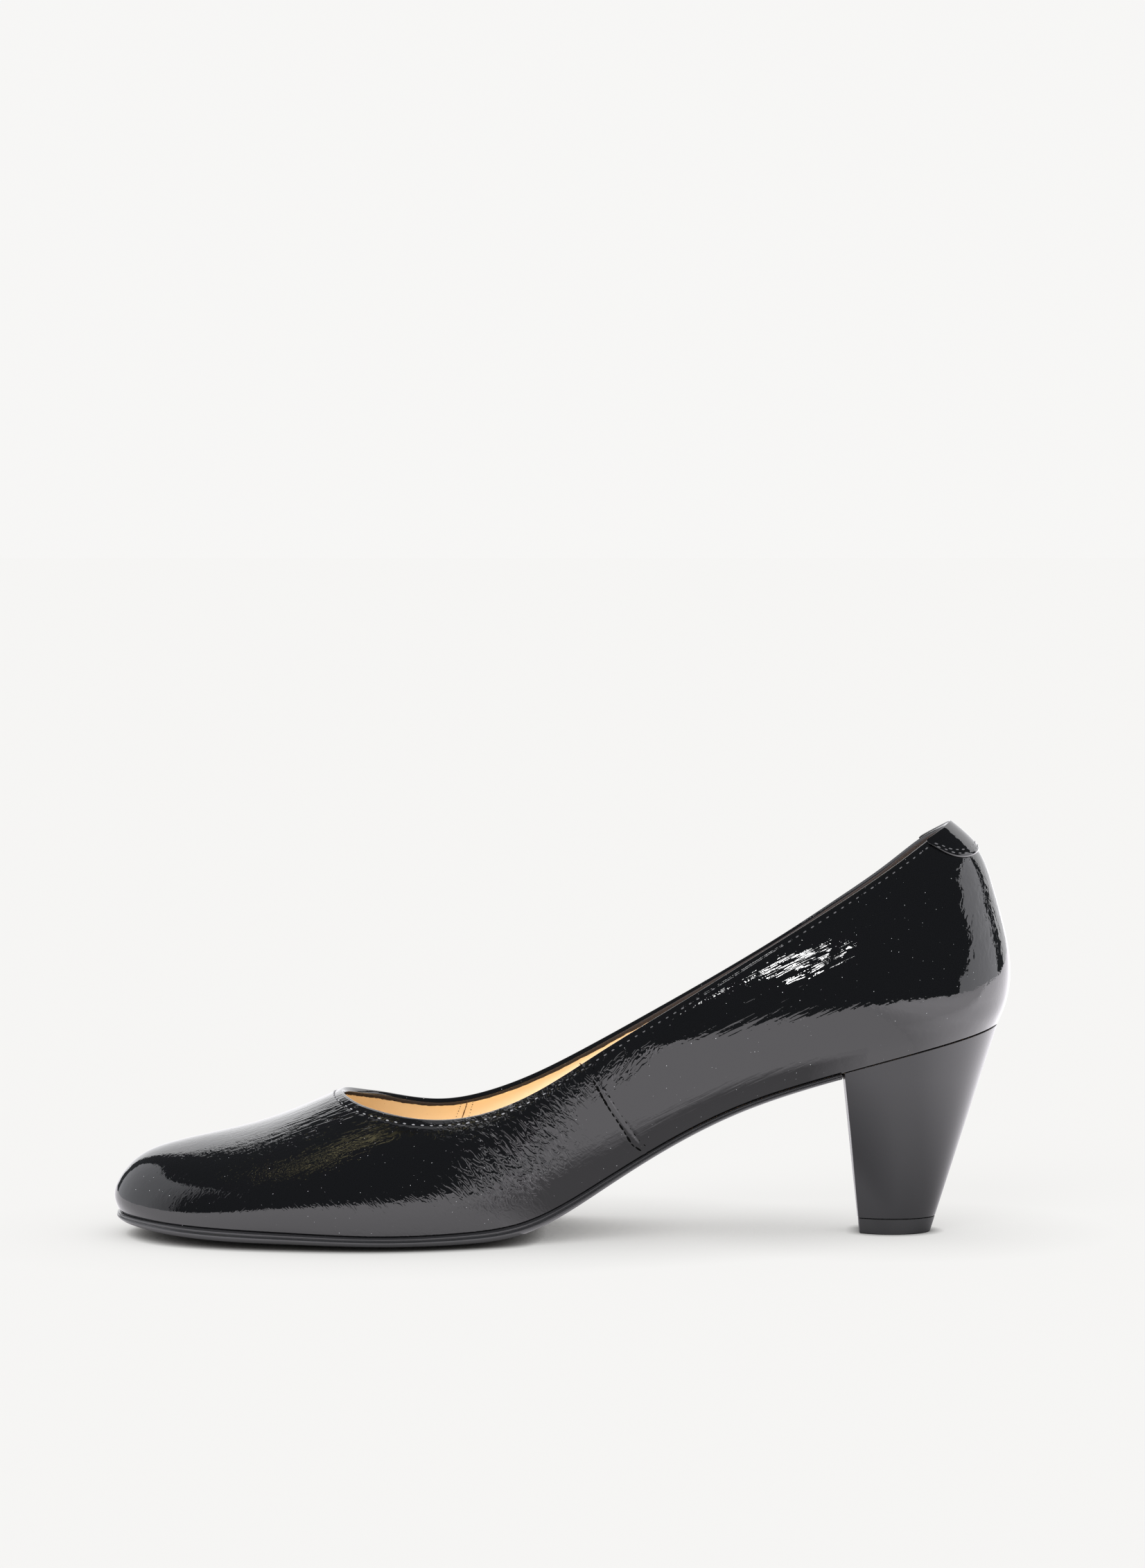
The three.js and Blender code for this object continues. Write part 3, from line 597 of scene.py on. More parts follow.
def seamShape():
    # two edges of leather sewn together and pressed open: a soft ridge between two shallow troughs
    shape = np.zeros(fromToe.shape)
    v = upperValues
    pitch = np.linalg.norm(np.roll(skinPoints, -1, 0) - skinPoints, axis=2)
    perRib = pitch / np.diff(np.append(stations, stations[0] + ribCount))[:, None]
    for centre, _ in v["sideSeams"]:
        distance = (stations - centre)[:, None] * perRib
        near = (np.abs(stations - centre) < 2)[:, None]
        ridge = np.exp(-(distance / v["seamWidth"]) ** 2)
        line = np.exp(-(distance / v["seamLine"]) ** 2)
        sides = np.exp(-((np.abs(distance) - 1.5 * v["seamWidth"]) / v["seamWidth"]) ** 2)
        shape += near * (v["seamRise"] * ridge - v["seamGroove"] * line - 0.3 * v["seamRise"] * sides)
    return shape


def stitchDown(ribAt):
    # how far below the edge the top line is sewn
    side = np.asarray(ribAt) % ribCount
    return np.interp(np.minimum(side, ribCount - side), *upperValues["stitchDown"])


offLine = below - stitchDown(stations)[:, None]
groove = upperValues["stitchGroove"] * np.exp(-(offLine / upperValues["grooveWidth"]) ** 2)
outerSkin = skinPoints + skinNormals * (seamShape() - foldDepth() - groove)[..., None]


def uneven(ribAt):
    # how far a hand-trimmed edge strays
    return 0.1 * np.sin(ribAt * 9.1) + 0.08 * np.sin(ribAt * 23.7 + 1) + 0.07 * np.sin(ribAt * 41.3 + 2)


def rimRows():
    # the edge rolls over a small radius, then runs down inside
    v = upperValues
    normal = skinNormals[:, -1]
    up = unit(skinPoints[:, -1] - skinPoints[:, -4])
    centre = skinPoints[:, -1] - normal * v["edgeRadius"]
    rows = []
    for a in np.radians(np.arange(v["edgeTurn"], 181, v["edgeTurn"])):
        across = math.copysign(abs(math.cos(a)) ** v["edgeSquare"], math.cos(a))
        rise = abs(math.sin(a)) ** v["edgeSquare"]
        rows.append(centre + v["edgeRadius"] * (across * normal + rise * up))
    turned = (v["turnedIn"] + uneven(stations))[:, None]
    rows += [rows[-1] - up * turned * drop for drop in v["turnedRows"]]
    aside, drop = v["turnedFoot"]
    return rows + [rows[-1] + normal * aside - up * drop]


def hiddenRows():
    # the leather's back, between it and the lining
    v = upperValues
    levels = np.linspace(v["levels"] - 4, 0, v["hiddenLevels"]).astype(int)
    rows = [skinPoints[:, k] - skinNormals[:, k] * v["hiddenDepth"] for k in levels]
    drop = (0, 0, v["hiddenDrop"])
    return rows + [rows[-1] - drop, skinPoints[:, 0] - skinNormals[:, 0] * v["hiddenFoot"] - drop]


def upperRing():
    rows = [outerSkin[:, k] for k in range(outerSkin.shape[1])] + rimRows() + hiddenRows()
    return np.stack(rows, 1)


def addAmounts(piece, amounts):
    for name, amount in amounts.items():
        data = piece.data.attributes.new(name, "FLOAT", "POINT").data
        data.foreach_set("value", amount.astype(np.float32).ravel())


def buildUpper():
    ring = upperRing()
    piece = makeMesh("patentUpper", ring.reshape(-1, 3), ringFaces(*ring.shape[:2]), patent)
    amounts = {name: np.zeros(ring.shape[:2]) for name in [*patentValues["lines"], "bare"]}
    for name in patentValues["lines"]:
        amounts[name][:, :below.shape[1]] = lineAmount(name)
    amounts["bare"][:, below.shape[1] + upperValues["bareRow"]:] = 1.0
    addAmounts(piece, amounts)
    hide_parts("upper")
    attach(piece, "root")
    return piece


upper = buildUpper()
print("stage 4: upper", len(upper.data.polygons), "faces")

# The tan lining inside it, its front and back as depths below the patent leather
liningShape = {"stations": 400, "levels": 44, "depth": 1.72, "back": 1.15, "topGap": 0.45}


def buildLining():
    v = liningShape
    around = np.arange(v["stations"]) * ribCount / v["stations"]
    levels = np.linspace(0, 1, v["levels"])[None] * (1 - v["topGap"] / ribHeight(around)[:, None])
    points = skinAt(np.repeat(around[:, None], v["levels"], 1), levels)
    normals = gridNormals(points)
    front, back = points - normals * v["depth"], points - normals * v["back"]
    ring = np.concatenate([front, back[:, ::-1][:, ::4]], 1)
    piece = makeMesh("liningOfUpper", ring.reshape(-1, 3), ringFaces(*ring.shape[:2]), lining)
    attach(piece, "root")


buildLining()
print("stage 5: lining made")


# Rows across the foot, shared by insole, outsole and heel
def facingRib(rib):
    breast = last["breastRib"]
    slant = np.where(rib < breast, (rib / breast) ** 2, (last["ribs"] - rib) / (last["ribs"] - breast))
    return ribCount - rib - last["breastSlant"] * slant


def crownDrop(share, width):
    toRim = np.maximum(0, (np.abs(2 * share - 1) - last["crownFlat"]) / (1 - last["crownFlat"]))
    return last["soleCrown"] * np.minimum(1, 2 * width / last["ballWidth"]) * (1 - toRim ** 2)


def crossRows(ribs, past, steps):
    inner = featherPoint(ribs) + featherOut(ribs) * past
    outer = featherPoint(facingRib(ribs)) + featherOut(facingRib(ribs)) * past
    share = np.linspace(0, 1, steps + 1)
    rows = inner[:, None] * (1 - share[None, :, None]) + outer[:, None] * share[None, :, None]
    width = np.linalg.norm(outer - inner, axis=1)[:, None]
    rows[..., 2] -= crownDrop(share[None], width)
    return rows


def plateFaces(rows, across):
    i, k = np.meshgrid(np.arange(rows - 1), np.arange(across - 1), indexing="ij")
    a = i * across + k
    return np.stack([a, a + 1, a + 1 + across, a + across], -1).reshape(-1, 4)


sockValues = {"rows": 120, "across": 30, "ends": 0.04, "inset": 1.95, "thick": 2.4, "edgeRound": 0.5}


def buildSock():
    v = sockValues
    ribs = np.linspace(v["ends"], last["ribs"] - v["ends"], v["rows"])
    lower = crossRows(ribs, -v["inset"], v["across"])
    upper = lower.copy()
    share = np.linspace(-1, 1, v["across"] + 1)
    upper[..., 2] += v["thick"] - v["edgeRound"] * np.abs(share[None]) ** 12
    across = v["across"] + 1
    under = v["rows"] * across
    faces = list(plateFaces(v["rows"], across)) + list(plateFaces(v["rows"], across) + under)
    sides = [(i * across + k, across) for i in range(v["rows"] - 1) for k in (0, across - 1)]
    ends = [(row * across + k, 1) for row in (0, v["rows"] - 1) for k in range(across - 1)]
    faces += [(a, a + step, under + a + step, under + a) for a, step in sides + ends]
    points = np.concatenate([upper.reshape(-1, 3), lower.reshape(-1, 3)])
    piece = makeMesh("sockOfInsole", points, faces, sockLeather)
    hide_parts("insole")
    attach(piece, "root")


buildSock()
print("stage 6: sock made")

# The outsole: a bead along the top of its edge, a groove, and a rounded side
soleValues = {
    "stations": 200, "across": 24, "floorGap": 0.02, "tuckedUp": 0.25,
    # rib and thickness
    "thickness": (
        (0, 1.98), (2, 2.46), (4, 3.0), (6, 2.52), (8.2, 3.0), (9.5, 2.16), (10.5, 1.8), (12.49, 1.4)),
    # outward from the sole's side, and down as a share of its thickness
    "profile": (
        (-2.6, 0.0), (-0.9, 0.0), (-0.42, 0.015), (-0.22, 0.06), (-0.14, 0.13), (-0.2, 0.21), (-0.36, 0.27),
        (-0.40, 0.31), (-0.30, 0.34), (-0.12, 0.38), (-0.02, 0.44), (0.01, 0.52), (-0.04, 0.6), (-0.18, 0.67),
        (-0.38, 0.76), (-0.62, 0.85), (-0.9, 0.93), (-1.25, 0.985), (-1.7, 1.0), (-2.6, 1.0)),
}


def buildOutsole():
    v = soleValues
    ribs = last["breastRib"] * np.linspace(0, 1, v["stations"]) ** 0.9
    thick = smoothCurve(*zip(*v["thickness"]), endsFlat=True)(ribs)
    sides = []
    for sideRibs in (ribs, facingRib(ribs)):
        edge, out = featherPoint(sideRibs), featherOut(sideRibs)
        rows = []
        for past, down in v["profile"]:
            point = edge + out * (last["soleLip"] + past)
            point[:, 2] -= last["seam"] * (v["tuckedUp"] if down == 0 else 1) + thick * down
            rows.append(point)
        sides.append(np.stack(rows, 1))
    inner, outer = sides
    share = np.linspace(0, 1, v["across"] + 1)[1:-1]
    width = np.linalg.norm(outer[:, 1] - inner[:, 1], axis=1)[:, None]
    beds = []
    for k in (0, -1):
        bed = inner[:, k, None] * (1 - share[None, :, None]) + outer[:, k, None] * share[None, :, None]
        bed[..., 2] -= crownDrop(share[None], width)
        beds.append(bed)
    for part in [inner, outer] + beds:
        part[..., 2] = np.maximum(part[..., 2], v["floorGap"])
    loop = np.concatenate([inner[:, ::-1], beds[0], outer, beds[1][:, ::-1]], 1)
    count, size = loop.shape[:2]
    breast = range((count - 1) * size, count * size)
    faces = [*ringFaces(count, size, closed=False), breast]
    piece = makeMesh("edgedOutsole", loop.reshape(-1, 3), faces, soleBlack)
    under = np.concatenate([inner[:, -2:], outer[:, -2:], beds[1]], 1).reshape(-1, 3)
    places = {tuple(place) for place in np.round(under, 2)}
    amounts = [tuple(np.round(np.array(vertex.co) * 1000, 2)) in places for vertex in piece.data.vertices]
    addAmounts(piece, {"under": np.array(amounts, float)})
    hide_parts("outsole")
    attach(piece, "root")


buildOutsole()
print("stage 7: outsole made")

# Heel and top piece
heelValues = {
    "baseLength": 19.6, "baseWidth": 18.6, "breastWidth": 12.6, "baseBack": 22.2, "hollow": 1.18, "turn": 4.5,
    "lip": 0.1, "topPiece": 4.3, "around": 96, "levels": 36, "breastSteps": 20, "corner": 0.7, "joint": 0.16,
    "padLevels": (0.0, 0.35, 2.0, 4.0, 4.3), "softEdge": 0.00025, "softAngle": 40,
}


def heelRing(share, z):
    # a ring of the heel at a share of its height, or of the top piece at z, and its straight breast
    h = heelValues
    station = np.linspace(0, 1, h["around"] + 1)
    ribs = last["breastRib"] + (last["ribs"] - last["breastRib"]) * (1 - np.abs(2 * station - 1))
    ribs = np.where(station <= 0.5, ribs, facingRib(ribs))
    seat = featherPoint(ribs) + featherOut(ribs) * h["lip"]
    breastTurn = math.pi - math.asin(h["breastWidth"] / h["baseWidth"])
    reach = h["baseLength"] / (1 - math.cos(breastTurn))
    turn = breastTurn * (2 * station - 1)
    x, y = reach * (np.cos(turn) - 1), h["baseWidth"] / 2 * np.sin(turn)
    a = -math.radians(h["turn"])
    base = np.stack([x * math.cos(a) - y * math.sin(a) + last["length"] / 2 - h["baseBack"],
                     x * math.sin(a) + y * math.cos(a) - last["axisOffset"], 0 * x], -1)
    seatZ = seat[:, 2] - last["seam"] * 0.5
    if share is None:
        height, s = z, np.full((len(x), 1), z / last["seatHeight"])
    else:
        foot = h["topPiece"] + h["joint"]
        height = foot + (seatZ - foot) * share
        s = (height / (seatZ + last["seam"] * 0.5))[:, None]
    ring = base * (1 - s) + seat * s
    ring[:, 1] = base[:, 1] + (seat[:, 1] - base[:, 1]) * s[:, 0] ** h["hollow"]
    ring[:, 2] = height
    steps = np.linspace(0, 1, h["breastSteps"] + 1)[1:-1, None]
    breast = ring[-1] * (1 - steps) + ring[0] * steps
    return ring, breast


def roundedRing(ring, breast):
    # the two corners of the breast, eased by a small radius
    corner = heelValues["corner"]
    for at, nxt in ((0, 1), (-1, -2)):
        far = np.linalg.norm(ring[nxt] - ring[at])
        ring[at] = ring[at] + (ring[nxt] - ring[at]) / far * min(corner, far * 0.6)
    span = np.linalg.norm(breast[-1] - breast[0])
    inset = min(corner, span * 0.2) / span
    steps = np.linspace(0, 1, heelValues["breastSteps"] + 1)[1:-1, None]
    along = inset + steps * (1 - 2 * inset)
    return np.concatenate([ring, breast[0] * (1 - along) + breast[-1] * along])


def buildHeelBody(name, rings, material, node, crowned):
    size = len(rings[0])
    points = np.concatenate(rings)
    top = list(range((len(rings) - 1) * size, len(rings) * size))
    faces = [*ringFaces(len(rings), size, closed=False), range(size)]
    if crowned:
        centre = points[top].mean(0) - (0, 0, last["soleCrown"])
        points = np.concatenate([points, centre[None]])
        faces += [(a, b, len(points) - 1) for a, b in zip(top, top[1:] + top[:1])]
    else:
        faces.append(top)
    piece = makeMesh(name, points, faces, material)
    soften = piece.modifiers.new("edges", "BEVEL")
    soften.width, soften.segments, soften.limit_method = heelValues["softEdge"], 2, "ANGLE"
    soften.angle_limit = math.radians(heelValues["softAngle"])
    soften.harden_normals = True
    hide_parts(node)
    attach(piece, "root")


heelRings = [roundedRing(*heelRing(s, None)) for s in np.linspace(0, 1, heelValues["levels"] + 1)]
buildHeelBody("lacqueredHeel", heelRings, heelBlack, "heel", True)
padRings = [roundedRing(*heelRing(None, z)) for z in heelValues["padLevels"]]
buildHeelBody("rubberTopPiece", padRings, rubberBlack, "top_piece", False)
print("stage 8: heel and top piece made")

# The heel tab over the back seam
tabValues = {
    "depth": 11.3, "thick": 0.6, "gap": 0.12, "stations": 90, "levels": 36,
    "edgeRound": 2.0, "edgeShare": 0.35,
    # ribs from the back seam, and how far down the tab reaches there as a share of its depth
    "shape": ((-1.88, 0.10), (-1.62, 0.56), (-1.30, 0.86), (-0.80, 1.01), (0, 1.0),
              (0.80, 1.01), (1.30, 0.86), (1.62, 0.56), (1.88, 0.10)),
}
tabDepth = smoothCurve(*zip(*tabValues["shape"]))


def buildTab():
    t = tabValues
    side = np.linspace(t["shape"][0][0], t["shape"][-1][0], t["stations"])
    ribs = last["ribs"] + side
    depth = t["depth"] * tabDepth(side) / ribHeight(ribs)
    levels = 1 - depth[:, None] * np.linspace(0.02, 1, t["levels"])[None]
    points = np.array([ribLine(rib, row) for rib, row in zip(ribs, levels)])
    normals = unit(np.cross(np.gradient(points, axis=0), -np.gradient(points, axis=1)))
    fromSide = np.minimum(np.arange(t["stations"]), np.arange(t["stations"])[::-1])[:, None]
    edge = np.minimum(0.9 * np.minimum(np.arange(t["levels"])[::-1][None], fromSide), t["edgeRound"])
    swell = t["edgeShare"] + (1 - t["edgeShare"]) * np.sqrt(edge / t["edgeRound"])
    front = points + normals * (t["gap"] + t["thick"] * swell)[..., None]
    back = points + normals * t["gap"]
    ring = np.concatenate([front, back[:, ::-1]], 1)
    count, size = ring.shape[:2]
    faces = [*ringFaces(count, size, closed=False), range(size), range((count - 1) * size, count * size)]
    piece = makeMesh("heelTab", ring.reshape(-1, 3), faces, patentEdge)
    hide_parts("heel_tab")
    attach(piece, "root")


buildTab()
print("stage 9: heel tab made")

# Sewn rows, each a path through a node tree
def sewnTree():
    tree = bpy.data.node_groups.new("sewnRow", "GeometryNodeTree")
    sockets = {}
    for name, kind, value in (
            ("Geometry", "Geometry", None), ("Spacing", "Float", 0.00245), ("Length", "Float", 0.001),
            ("Width", "Float", 0.0005), ("Height", "Float", 0.0004), ("Uneven", "Float", 0.1),
            ("Seed", "Int", 4), ("Material", "Material", None)):
        sockets[name] = tree.interface.new_socket(name=name, in_out="INPUT", socket_type="NodeSocket" + kind)
        if value is not None:
            sockets[name].default_value = value
    tree.interface.new_socket(name="Geometry", in_out="OUTPUT", socket_type="NodeSocketGeometry")
    given = tree.nodes.new("NodeGroupInput").outputs
    path = addNode(tree, "GeometryNodeMeshToCurve", Mesh=given["Geometry"])
    spaced = addNode(tree, "GeometryNodeResampleCurve", mode="LENGTH", Curve=path.outputs[0],
                     Length=given["Spacing"])
    bead = addNode(tree, "GeometryNodeMeshUVSphere", Segments=10, Rings=6, Radius=0.5)
    # each bead lies along the path, with its flat side to the leather
    tangent = tree.nodes.new("GeometryNodeInputTangent").outputs["Tangent"]
    along = addNode(tree, "FunctionNodeAlignRotationToVector", axis="X", Vector=tangent)
    out = addNode(tree, "GeometryNodeInputNamedAttribute", data_type="FLOAT_VECTOR", Name="out")
    upright = addNode(tree, "FunctionNodeAlignRotationToVector", axis="Z", pivot_axis="X",
                      Vector=out.outputs["Attribute"], Rotation=along.outputs["Rotation"])
    shape = addNode(tree, "ShaderNodeCombineXYZ", X=given["Length"], Y=given["Width"], Z=given["Height"])
    vary = addNode(tree, "FunctionNodeRandomValue", data_type="FLOAT", Seed=given["Seed"])
    join(tree, mathNode(tree, "SUBTRACT", 1.0, given["Uneven"]), vary.inputs[2])
    join(tree, mathNode(tree, "ADD", 1.0, given["Uneven"]), vary.inputs[3])
    scaled = addNode(tree, "ShaderNodeVectorMath", operation="SCALE", Scale=vary.outputs[1])
    join(tree, shape.outputs[0], scaled.inputs[0])
    placed = addNode(tree, "GeometryNodeInstanceOnPoints", Points=spaced.outputs[0], Instance=bead.outputs[0],
                     Rotation=upright.outputs[0], Scale=scaled.outputs[0])
    real = addNode(tree, "GeometryNodeRealizeInstances", Geometry=placed.outputs[0])
    smooth = addNode(tree, "GeometryNodeSetShadeSmooth", Geometry=real.outputs[0])
    painted = addNode(tree, "GeometryNodeSetMaterial", Geometry=smooth.outputs[0], Material=given["Material"])
    addNode(tree, "NodeGroupOutput", Geometry=painted.outputs[0])
    return tree, sockets


rowTree, rowSockets = sewnTree()


def sewnRow(name, points, outs, values, material):
    guide = bpy.data.meshes.new(name + "Guide")
    guide.from_pydata([tuple(p) for p in points * 0.001], [(i, i + 1) for i in range(len(points) - 1)], [])
    facing = guide.attributes.new("out", "FLOAT_VECTOR", "POINT").data
    facing.foreach_set("vector", outs.astype(np.float32).ravel())
    holder = bpy.data.objects.new(name + "Guide", guide)
    bpy.context.scene.collection.objects.link(holder)
    sewing = holder.modifiers.new("sewing", "NODES")
    sewing.node_group = rowTree
    sizes = {key: value for key, value in values.items() if key in rowSockets}
    for key, value in {**sizes, "Material": material}.items():
        sewing[rowSockets[key].identifier] = value
    ready = holder.evaluated_get(bpy.context.evaluated_depsgraph_get())
    mesh = bpy.data.meshes.new_from_object(ready)
    piece = bpy.data.objects.new(name, mesh)
    bpy.context.scene.collection.objects.link(piece)
    holder.modifiers.remove(sewing)
    bpy.data.objects.remove(holder)
    if not mesh.materials:
        mesh.materials.append(material)
    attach(piece, "root")


def pathOnSkin(downs, ribAt, lift):
    # a path on the leather, by rib and millimetres below the top edge, and its normals from near points
    near = np.array([-1.0, 0.0, 1.0])
    ribGrid = np.repeat(ribAt[:, None], 3, 1)
    levels = 1 - (downs[:, None] + near[None] * rowValues["nearDown"]) / ribHeight(ribAt)[:, None]
    middle = skinAt(ribGrid, levels)
    aside = skinAt(ribGrid[:, 1:2] + rowValues["nearRib"], levels[:, 1:2])[:, 0]
    normal = unit(np.cross(aside - middle[:, 1], middle[:, 0] - middle[:, 1]))
    centre = skinPoints.reshape(-1, 3)[:, :2].mean(0)
    outward = np.where(((middle[:, 1, :2] - centre) * normal[:, :2]).sum(1) < 0, -1.0, 1.0)
    normal = normal * outward[:, None]
    return middle[:, 1] + normal * lift, normal


rowValues = {
    # how near the points lie that a path's normals are taken from, in millimetres and in ribs
    "nearDown": 0.1, "nearRib": 0.02,
    "throatEnd": 8.0, "pathPoints": 900, "seamShares": (0.06, 0.99, 200), "liningDowns": (1.2, 20.0, 120),
    "liningLift": 0.03, "tabSides": (-1.72, 1.72, 240), "tabInsets": (1.1, 2.3), "tabSunk": 0.02,
    "besideTab": 0.12, "firstHole": 0.028,
    # each row: offset in ribs, lift in millimetres, and the tree's inputs
    "topEdge": {"lift": 0.04, "Spacing": 0.00245, "Length": 0.001, "Width": 0.0004, "Height": 0.0004},
    # dark beads sunk into the leather along the top edge: painted shade for the needle holes
    "holes": {"lift": -0.06, "Spacing": 0.00245, "Length": 0.0005, "Width": 0.00042, "Height": 0.0002},
    "seamLeft": {"offset": -0.045, "lift": 0.02, "Spacing": 0.00205, "Length": 0.0019, "Width": 0.00052,
                 "Height": 0.0002, "Uneven": 0.35},
    "seamRight": {"offset": 0.045, "lift": 0.02, "Spacing": 0.0021, "Length": 0.0007, "Width": 0.00022,
                  "Height": 0.0002, "Uneven": 0.4},
    "liningSeam": {"offset": 0.0, "Spacing": 0.0007, "Length": 0.0011, "Width": 0.00032, "Height": 0.0002,
                   "Uneven": 0.3},
    "liningSide": {"Spacing": 0.0012, "Length": 0.00045, "Width": 0.0003, "Height": 0.00016, "Uneven": 0.3},
    "tabEdge": {"Spacing": 0.0021, "Length": 0.0011, "Width": 0.0004, "Height": 0.0003},
}
rowValues["liningLeft"] = {**rowValues["liningSide"], "offset": -0.13}
rowValues["liningRight"] = {**rowValues["liningSide"], "offset": 0.13}


def sewTopEdge():
    # from the tab's one side round the throat to its other side
    reach = tabValues["shape"][-1][0] + rowValues["besideTab"]
    start, end = last["ribs"] + reach - ribCount, last["ribs"] - reach
    throat = rowValues["throatEnd"]
    # the throat's stitches take the lighter thread, whose colour paints their glints
    for name, kind, first, final, material in (
            ("quarterIn", "topEdge", start, -throat, threadDim),
            ("throat", "topEdge", -throat, throat, threadPaintedGlint),
            ("quarterOut", "topEdge", throat, end, threadDim),
            ("holes", "holes", start + rowValues["firstHole"], end, pinhole)):
        ribAt = np.linspace(first, final, rowValues["pathPoints"])
        points, outs = pathOnSkin(stitchDown(ribAt), ribAt, rowValues[kind]["lift"])
        sewnRow(name + "Row", points, outs, rowValues[kind], material)


def sewSeams():
    below = 1 - np.linspace(*rowValues["seamShares"])
    for number, (centre, lean) in enumerate(upperValues["sideSeams"]):
        for name in ("seamLeft", "seamRight"):
            v = rowValues[name]
            ribAt = centre + lean * below + v["offset"]
            points, outs = pathOnSkin(below * ribHeight(ribAt), ribAt, v["lift"])
            sewnRow("%sRow%d" % (name, number), points, outs, v, pinhole)


def leanedLine(ribAt, levels):
    return np.array([ribLine(rib, np.array([level]))[0] for rib, level in zip(ribAt, levels)])


def sewLining():
    # the join of the lining's two parts, inside on the far side and on the near one
    deep = liningShape["depth"] + rowValues["liningLift"]
    far = last["liningSeamRib"]
    for number, (rib, lean) in enumerate(((far, 1), (ribCount - far, -1))):
        levels = 1 - np.linspace(*rowValues["liningDowns"]) / ribHeight(rib)
        for name in ("liningSeam", "liningLeft", "liningRight"):
            ribAt = rib + rowValues[name]["offset"] + lean * last["liningSeamLean"] * (1 - levels)
            line = leanedLine(ribAt, levels)
            aside = leanedLine(ribAt + rowValues["nearRib"], levels)
            normal = unit(np.cross(aside - line, -np.gradient(line, axis=0)))
            normal = normal * np.where((normal[:, 1] * line[:, 1]) < 0, -1.0, 1.0)[:, None]
            sewnRow("%sRow%d" % (name, number), line - normal * deep, -normal, rowValues[name], threadTan)


def sewTab():
    t = tabValues
    side = np.linspace(*rowValues["tabSides"])
    for number, inset in enumerate(rowValues["tabInsets"]):
        downs = np.maximum(t["depth"] * tabDepth(side) - inset, 1.0)
        points, outs = pathOnSkin(downs, last["ribs"] + side, t["gap"] + t["thick"] - rowValues["tabSunk"])
        sewnRow("tabRow%d" % number, points, outs, rowValues["tabEdge"], threadDim)


sewTopEdge()
sewSeams()
sewLining()
sewTab()
print("stage 10: sewn rows made")

# Floor, glowing cards and sheets that only mirrors see (painted reflections), light and camera
studio = {
    "floor": (0.05, 0.05, 0.0495, 1), "floorTone": (1.0, 0.993, 0.98, 1), "floorGlow": 0.84,
    # how far the shoe shades the floor and how strongly, close by and wide: painted shadow, made by ambient
    # occlusion
    "shades": ((0.004, 1.1), (0.05, 0.42)), "sheenShades": ((0.006, 1.1), (0.04, 0.35)),
    "sheenTone": (1.03, 1.0, 1.05, 1), "sheenGlow": 1.12,
    "near": (0.19, 0.09), "world": (0.93, 0.925, 0.915, 1), "worldStrength": 1.0,
    "camera": (-0.0218, -1.3998, 0.20515), "tilt": 86.69, "turn": -1.0, "lens": 116.7, "film": 36.0,
    # how far the floor reaches, how high what only mirrors see lies over it, and how far off the cards stand
    "reach": 14, "sheenHeight": 0.0002, "fieldHeight": 0.0003, "cardDistance": 5.0, "roomDistance": 5.5,
    "daylight": {"azimuth": -20, "elevation": 38, "strength": 3.7, "spread": 30},
    "quarterLight": {"place": (-0.026, -0.401, 0.305), "target": (0.088, -0.03, 0.088), "size": 0.042,
                     "power": 0.0008, "spread": 12.0},
}

# Where the mirrored floor is dimmer or brighter: a painted shadow under the arch and painted light beside the
# heel, both seen only in reflections. Crossings along x and y in metres, a row of shine for each x
sheenFields = {
    "archShade": {"x": (-0.01, 0.01, 0.075, 0.095), "y": (-0.07, -0.055, -0.03, -0.02), "shine": (
        (1.12, 1.12, 1.12, 1.12), (1.12, 0.5, 0.5, 1.12), (1.12, 0.5, 0.5, 1.12), (1.12, 1.12, 1.12, 1.12))},
    "heelShine": {"x": (0.118, 0.15, 0.2, 0.4, 14), "y": (-4, -0.15, -0.06, 0.03, 4), "shine": (
        (1.12, 1.12, 1.12, 1.12, 1.12), (1.12, 1.3, 1.6, 1.6, 1.12), (1.12, 1.6, 2.1, 2.2, 1.6),
        (1.3, 1.8, 2.6, 2.6, 1.8), (1.3, 1.8, 2.4, 2.4, 1.8))},
}

# Glowing cards that only mirrors see: painted reflections of a bright studio. Azimuth 0 is towards the
# camera, 90 to the heel side, 180 behind the shoe.
# Each row: azimuth, lower and upper elevation, brightness.
cards = {
    "backCard": {"colour": (1.0, 1.0, 1.02, 1), "rows": (
        (118, 25, 62, 1.5), (128, 9, 62, 1.6), (131, -3, 62, 1.6), (165, -3, 62, 1.4), (204, -3, 62, 1.5))},
    "hazeCard": {"colour": (0.97, 0.98, 1.03, 1), "rows": (
        (122, 62, 70, 0.3), (150, 62, 76, 0.5), (180, 62, 77, 0.5), (204, 62, 74, 0.4))},
    "toeCard": {"colour": (0.97, 0.98, 1.03, 1), "rows": (
        (-145, -3, 28, 0.85), (-138, -3, 44, 0.85), (-120, -3, 49, 0.85), (-85, -3, 49.6, 0.8),
        (-72, -3, 50, 0.55), (-66, -3, -1, 0.5))},
    "heelCard": {"colour": (0.98, 0.98, 1.03, 1), "rows": (
        (56, -3, 8, 1.1), (66, -3, 11, 1.15), (73, -3, 15, 1.25), (75, -3, 38, 1.25), (108, -3, 38, 1.45),
        (114, -3, 11, 1.4))},
    "oliveCard": {"colour": (0.5, 0.45, 0.25, 1), "rows": (
        (-150, 79, 80, 0.0), (-130, 77, 80, 0.6), (-110, 72.5, 79.5, 1.8), (-92, 68, 73, 1.9),
        (-82, 63, 69, 1.3), (-74, 63, 64, 0.5))},
    "room": {"colour": (0.95, 1.0, 1.08, 1), "rows": (
        (-180, -3, 89, 0.085), (0, -3, 89, 0.085), (180, -3, 89, 0.085))},
}


def stageOnly(name, mesh, camera, glossy, diffuse, shadow):
    piece = bpy.data.objects.new(name, mesh)
    bpy.context.scene.collection.objects.link(piece)
    piece.visible_camera, piece.visible_glossy = camera, glossy
    piece.visible_diffuse, piece.visible_shadow = diffuse, shadow
    piece.visible_transmission = False
    return piece


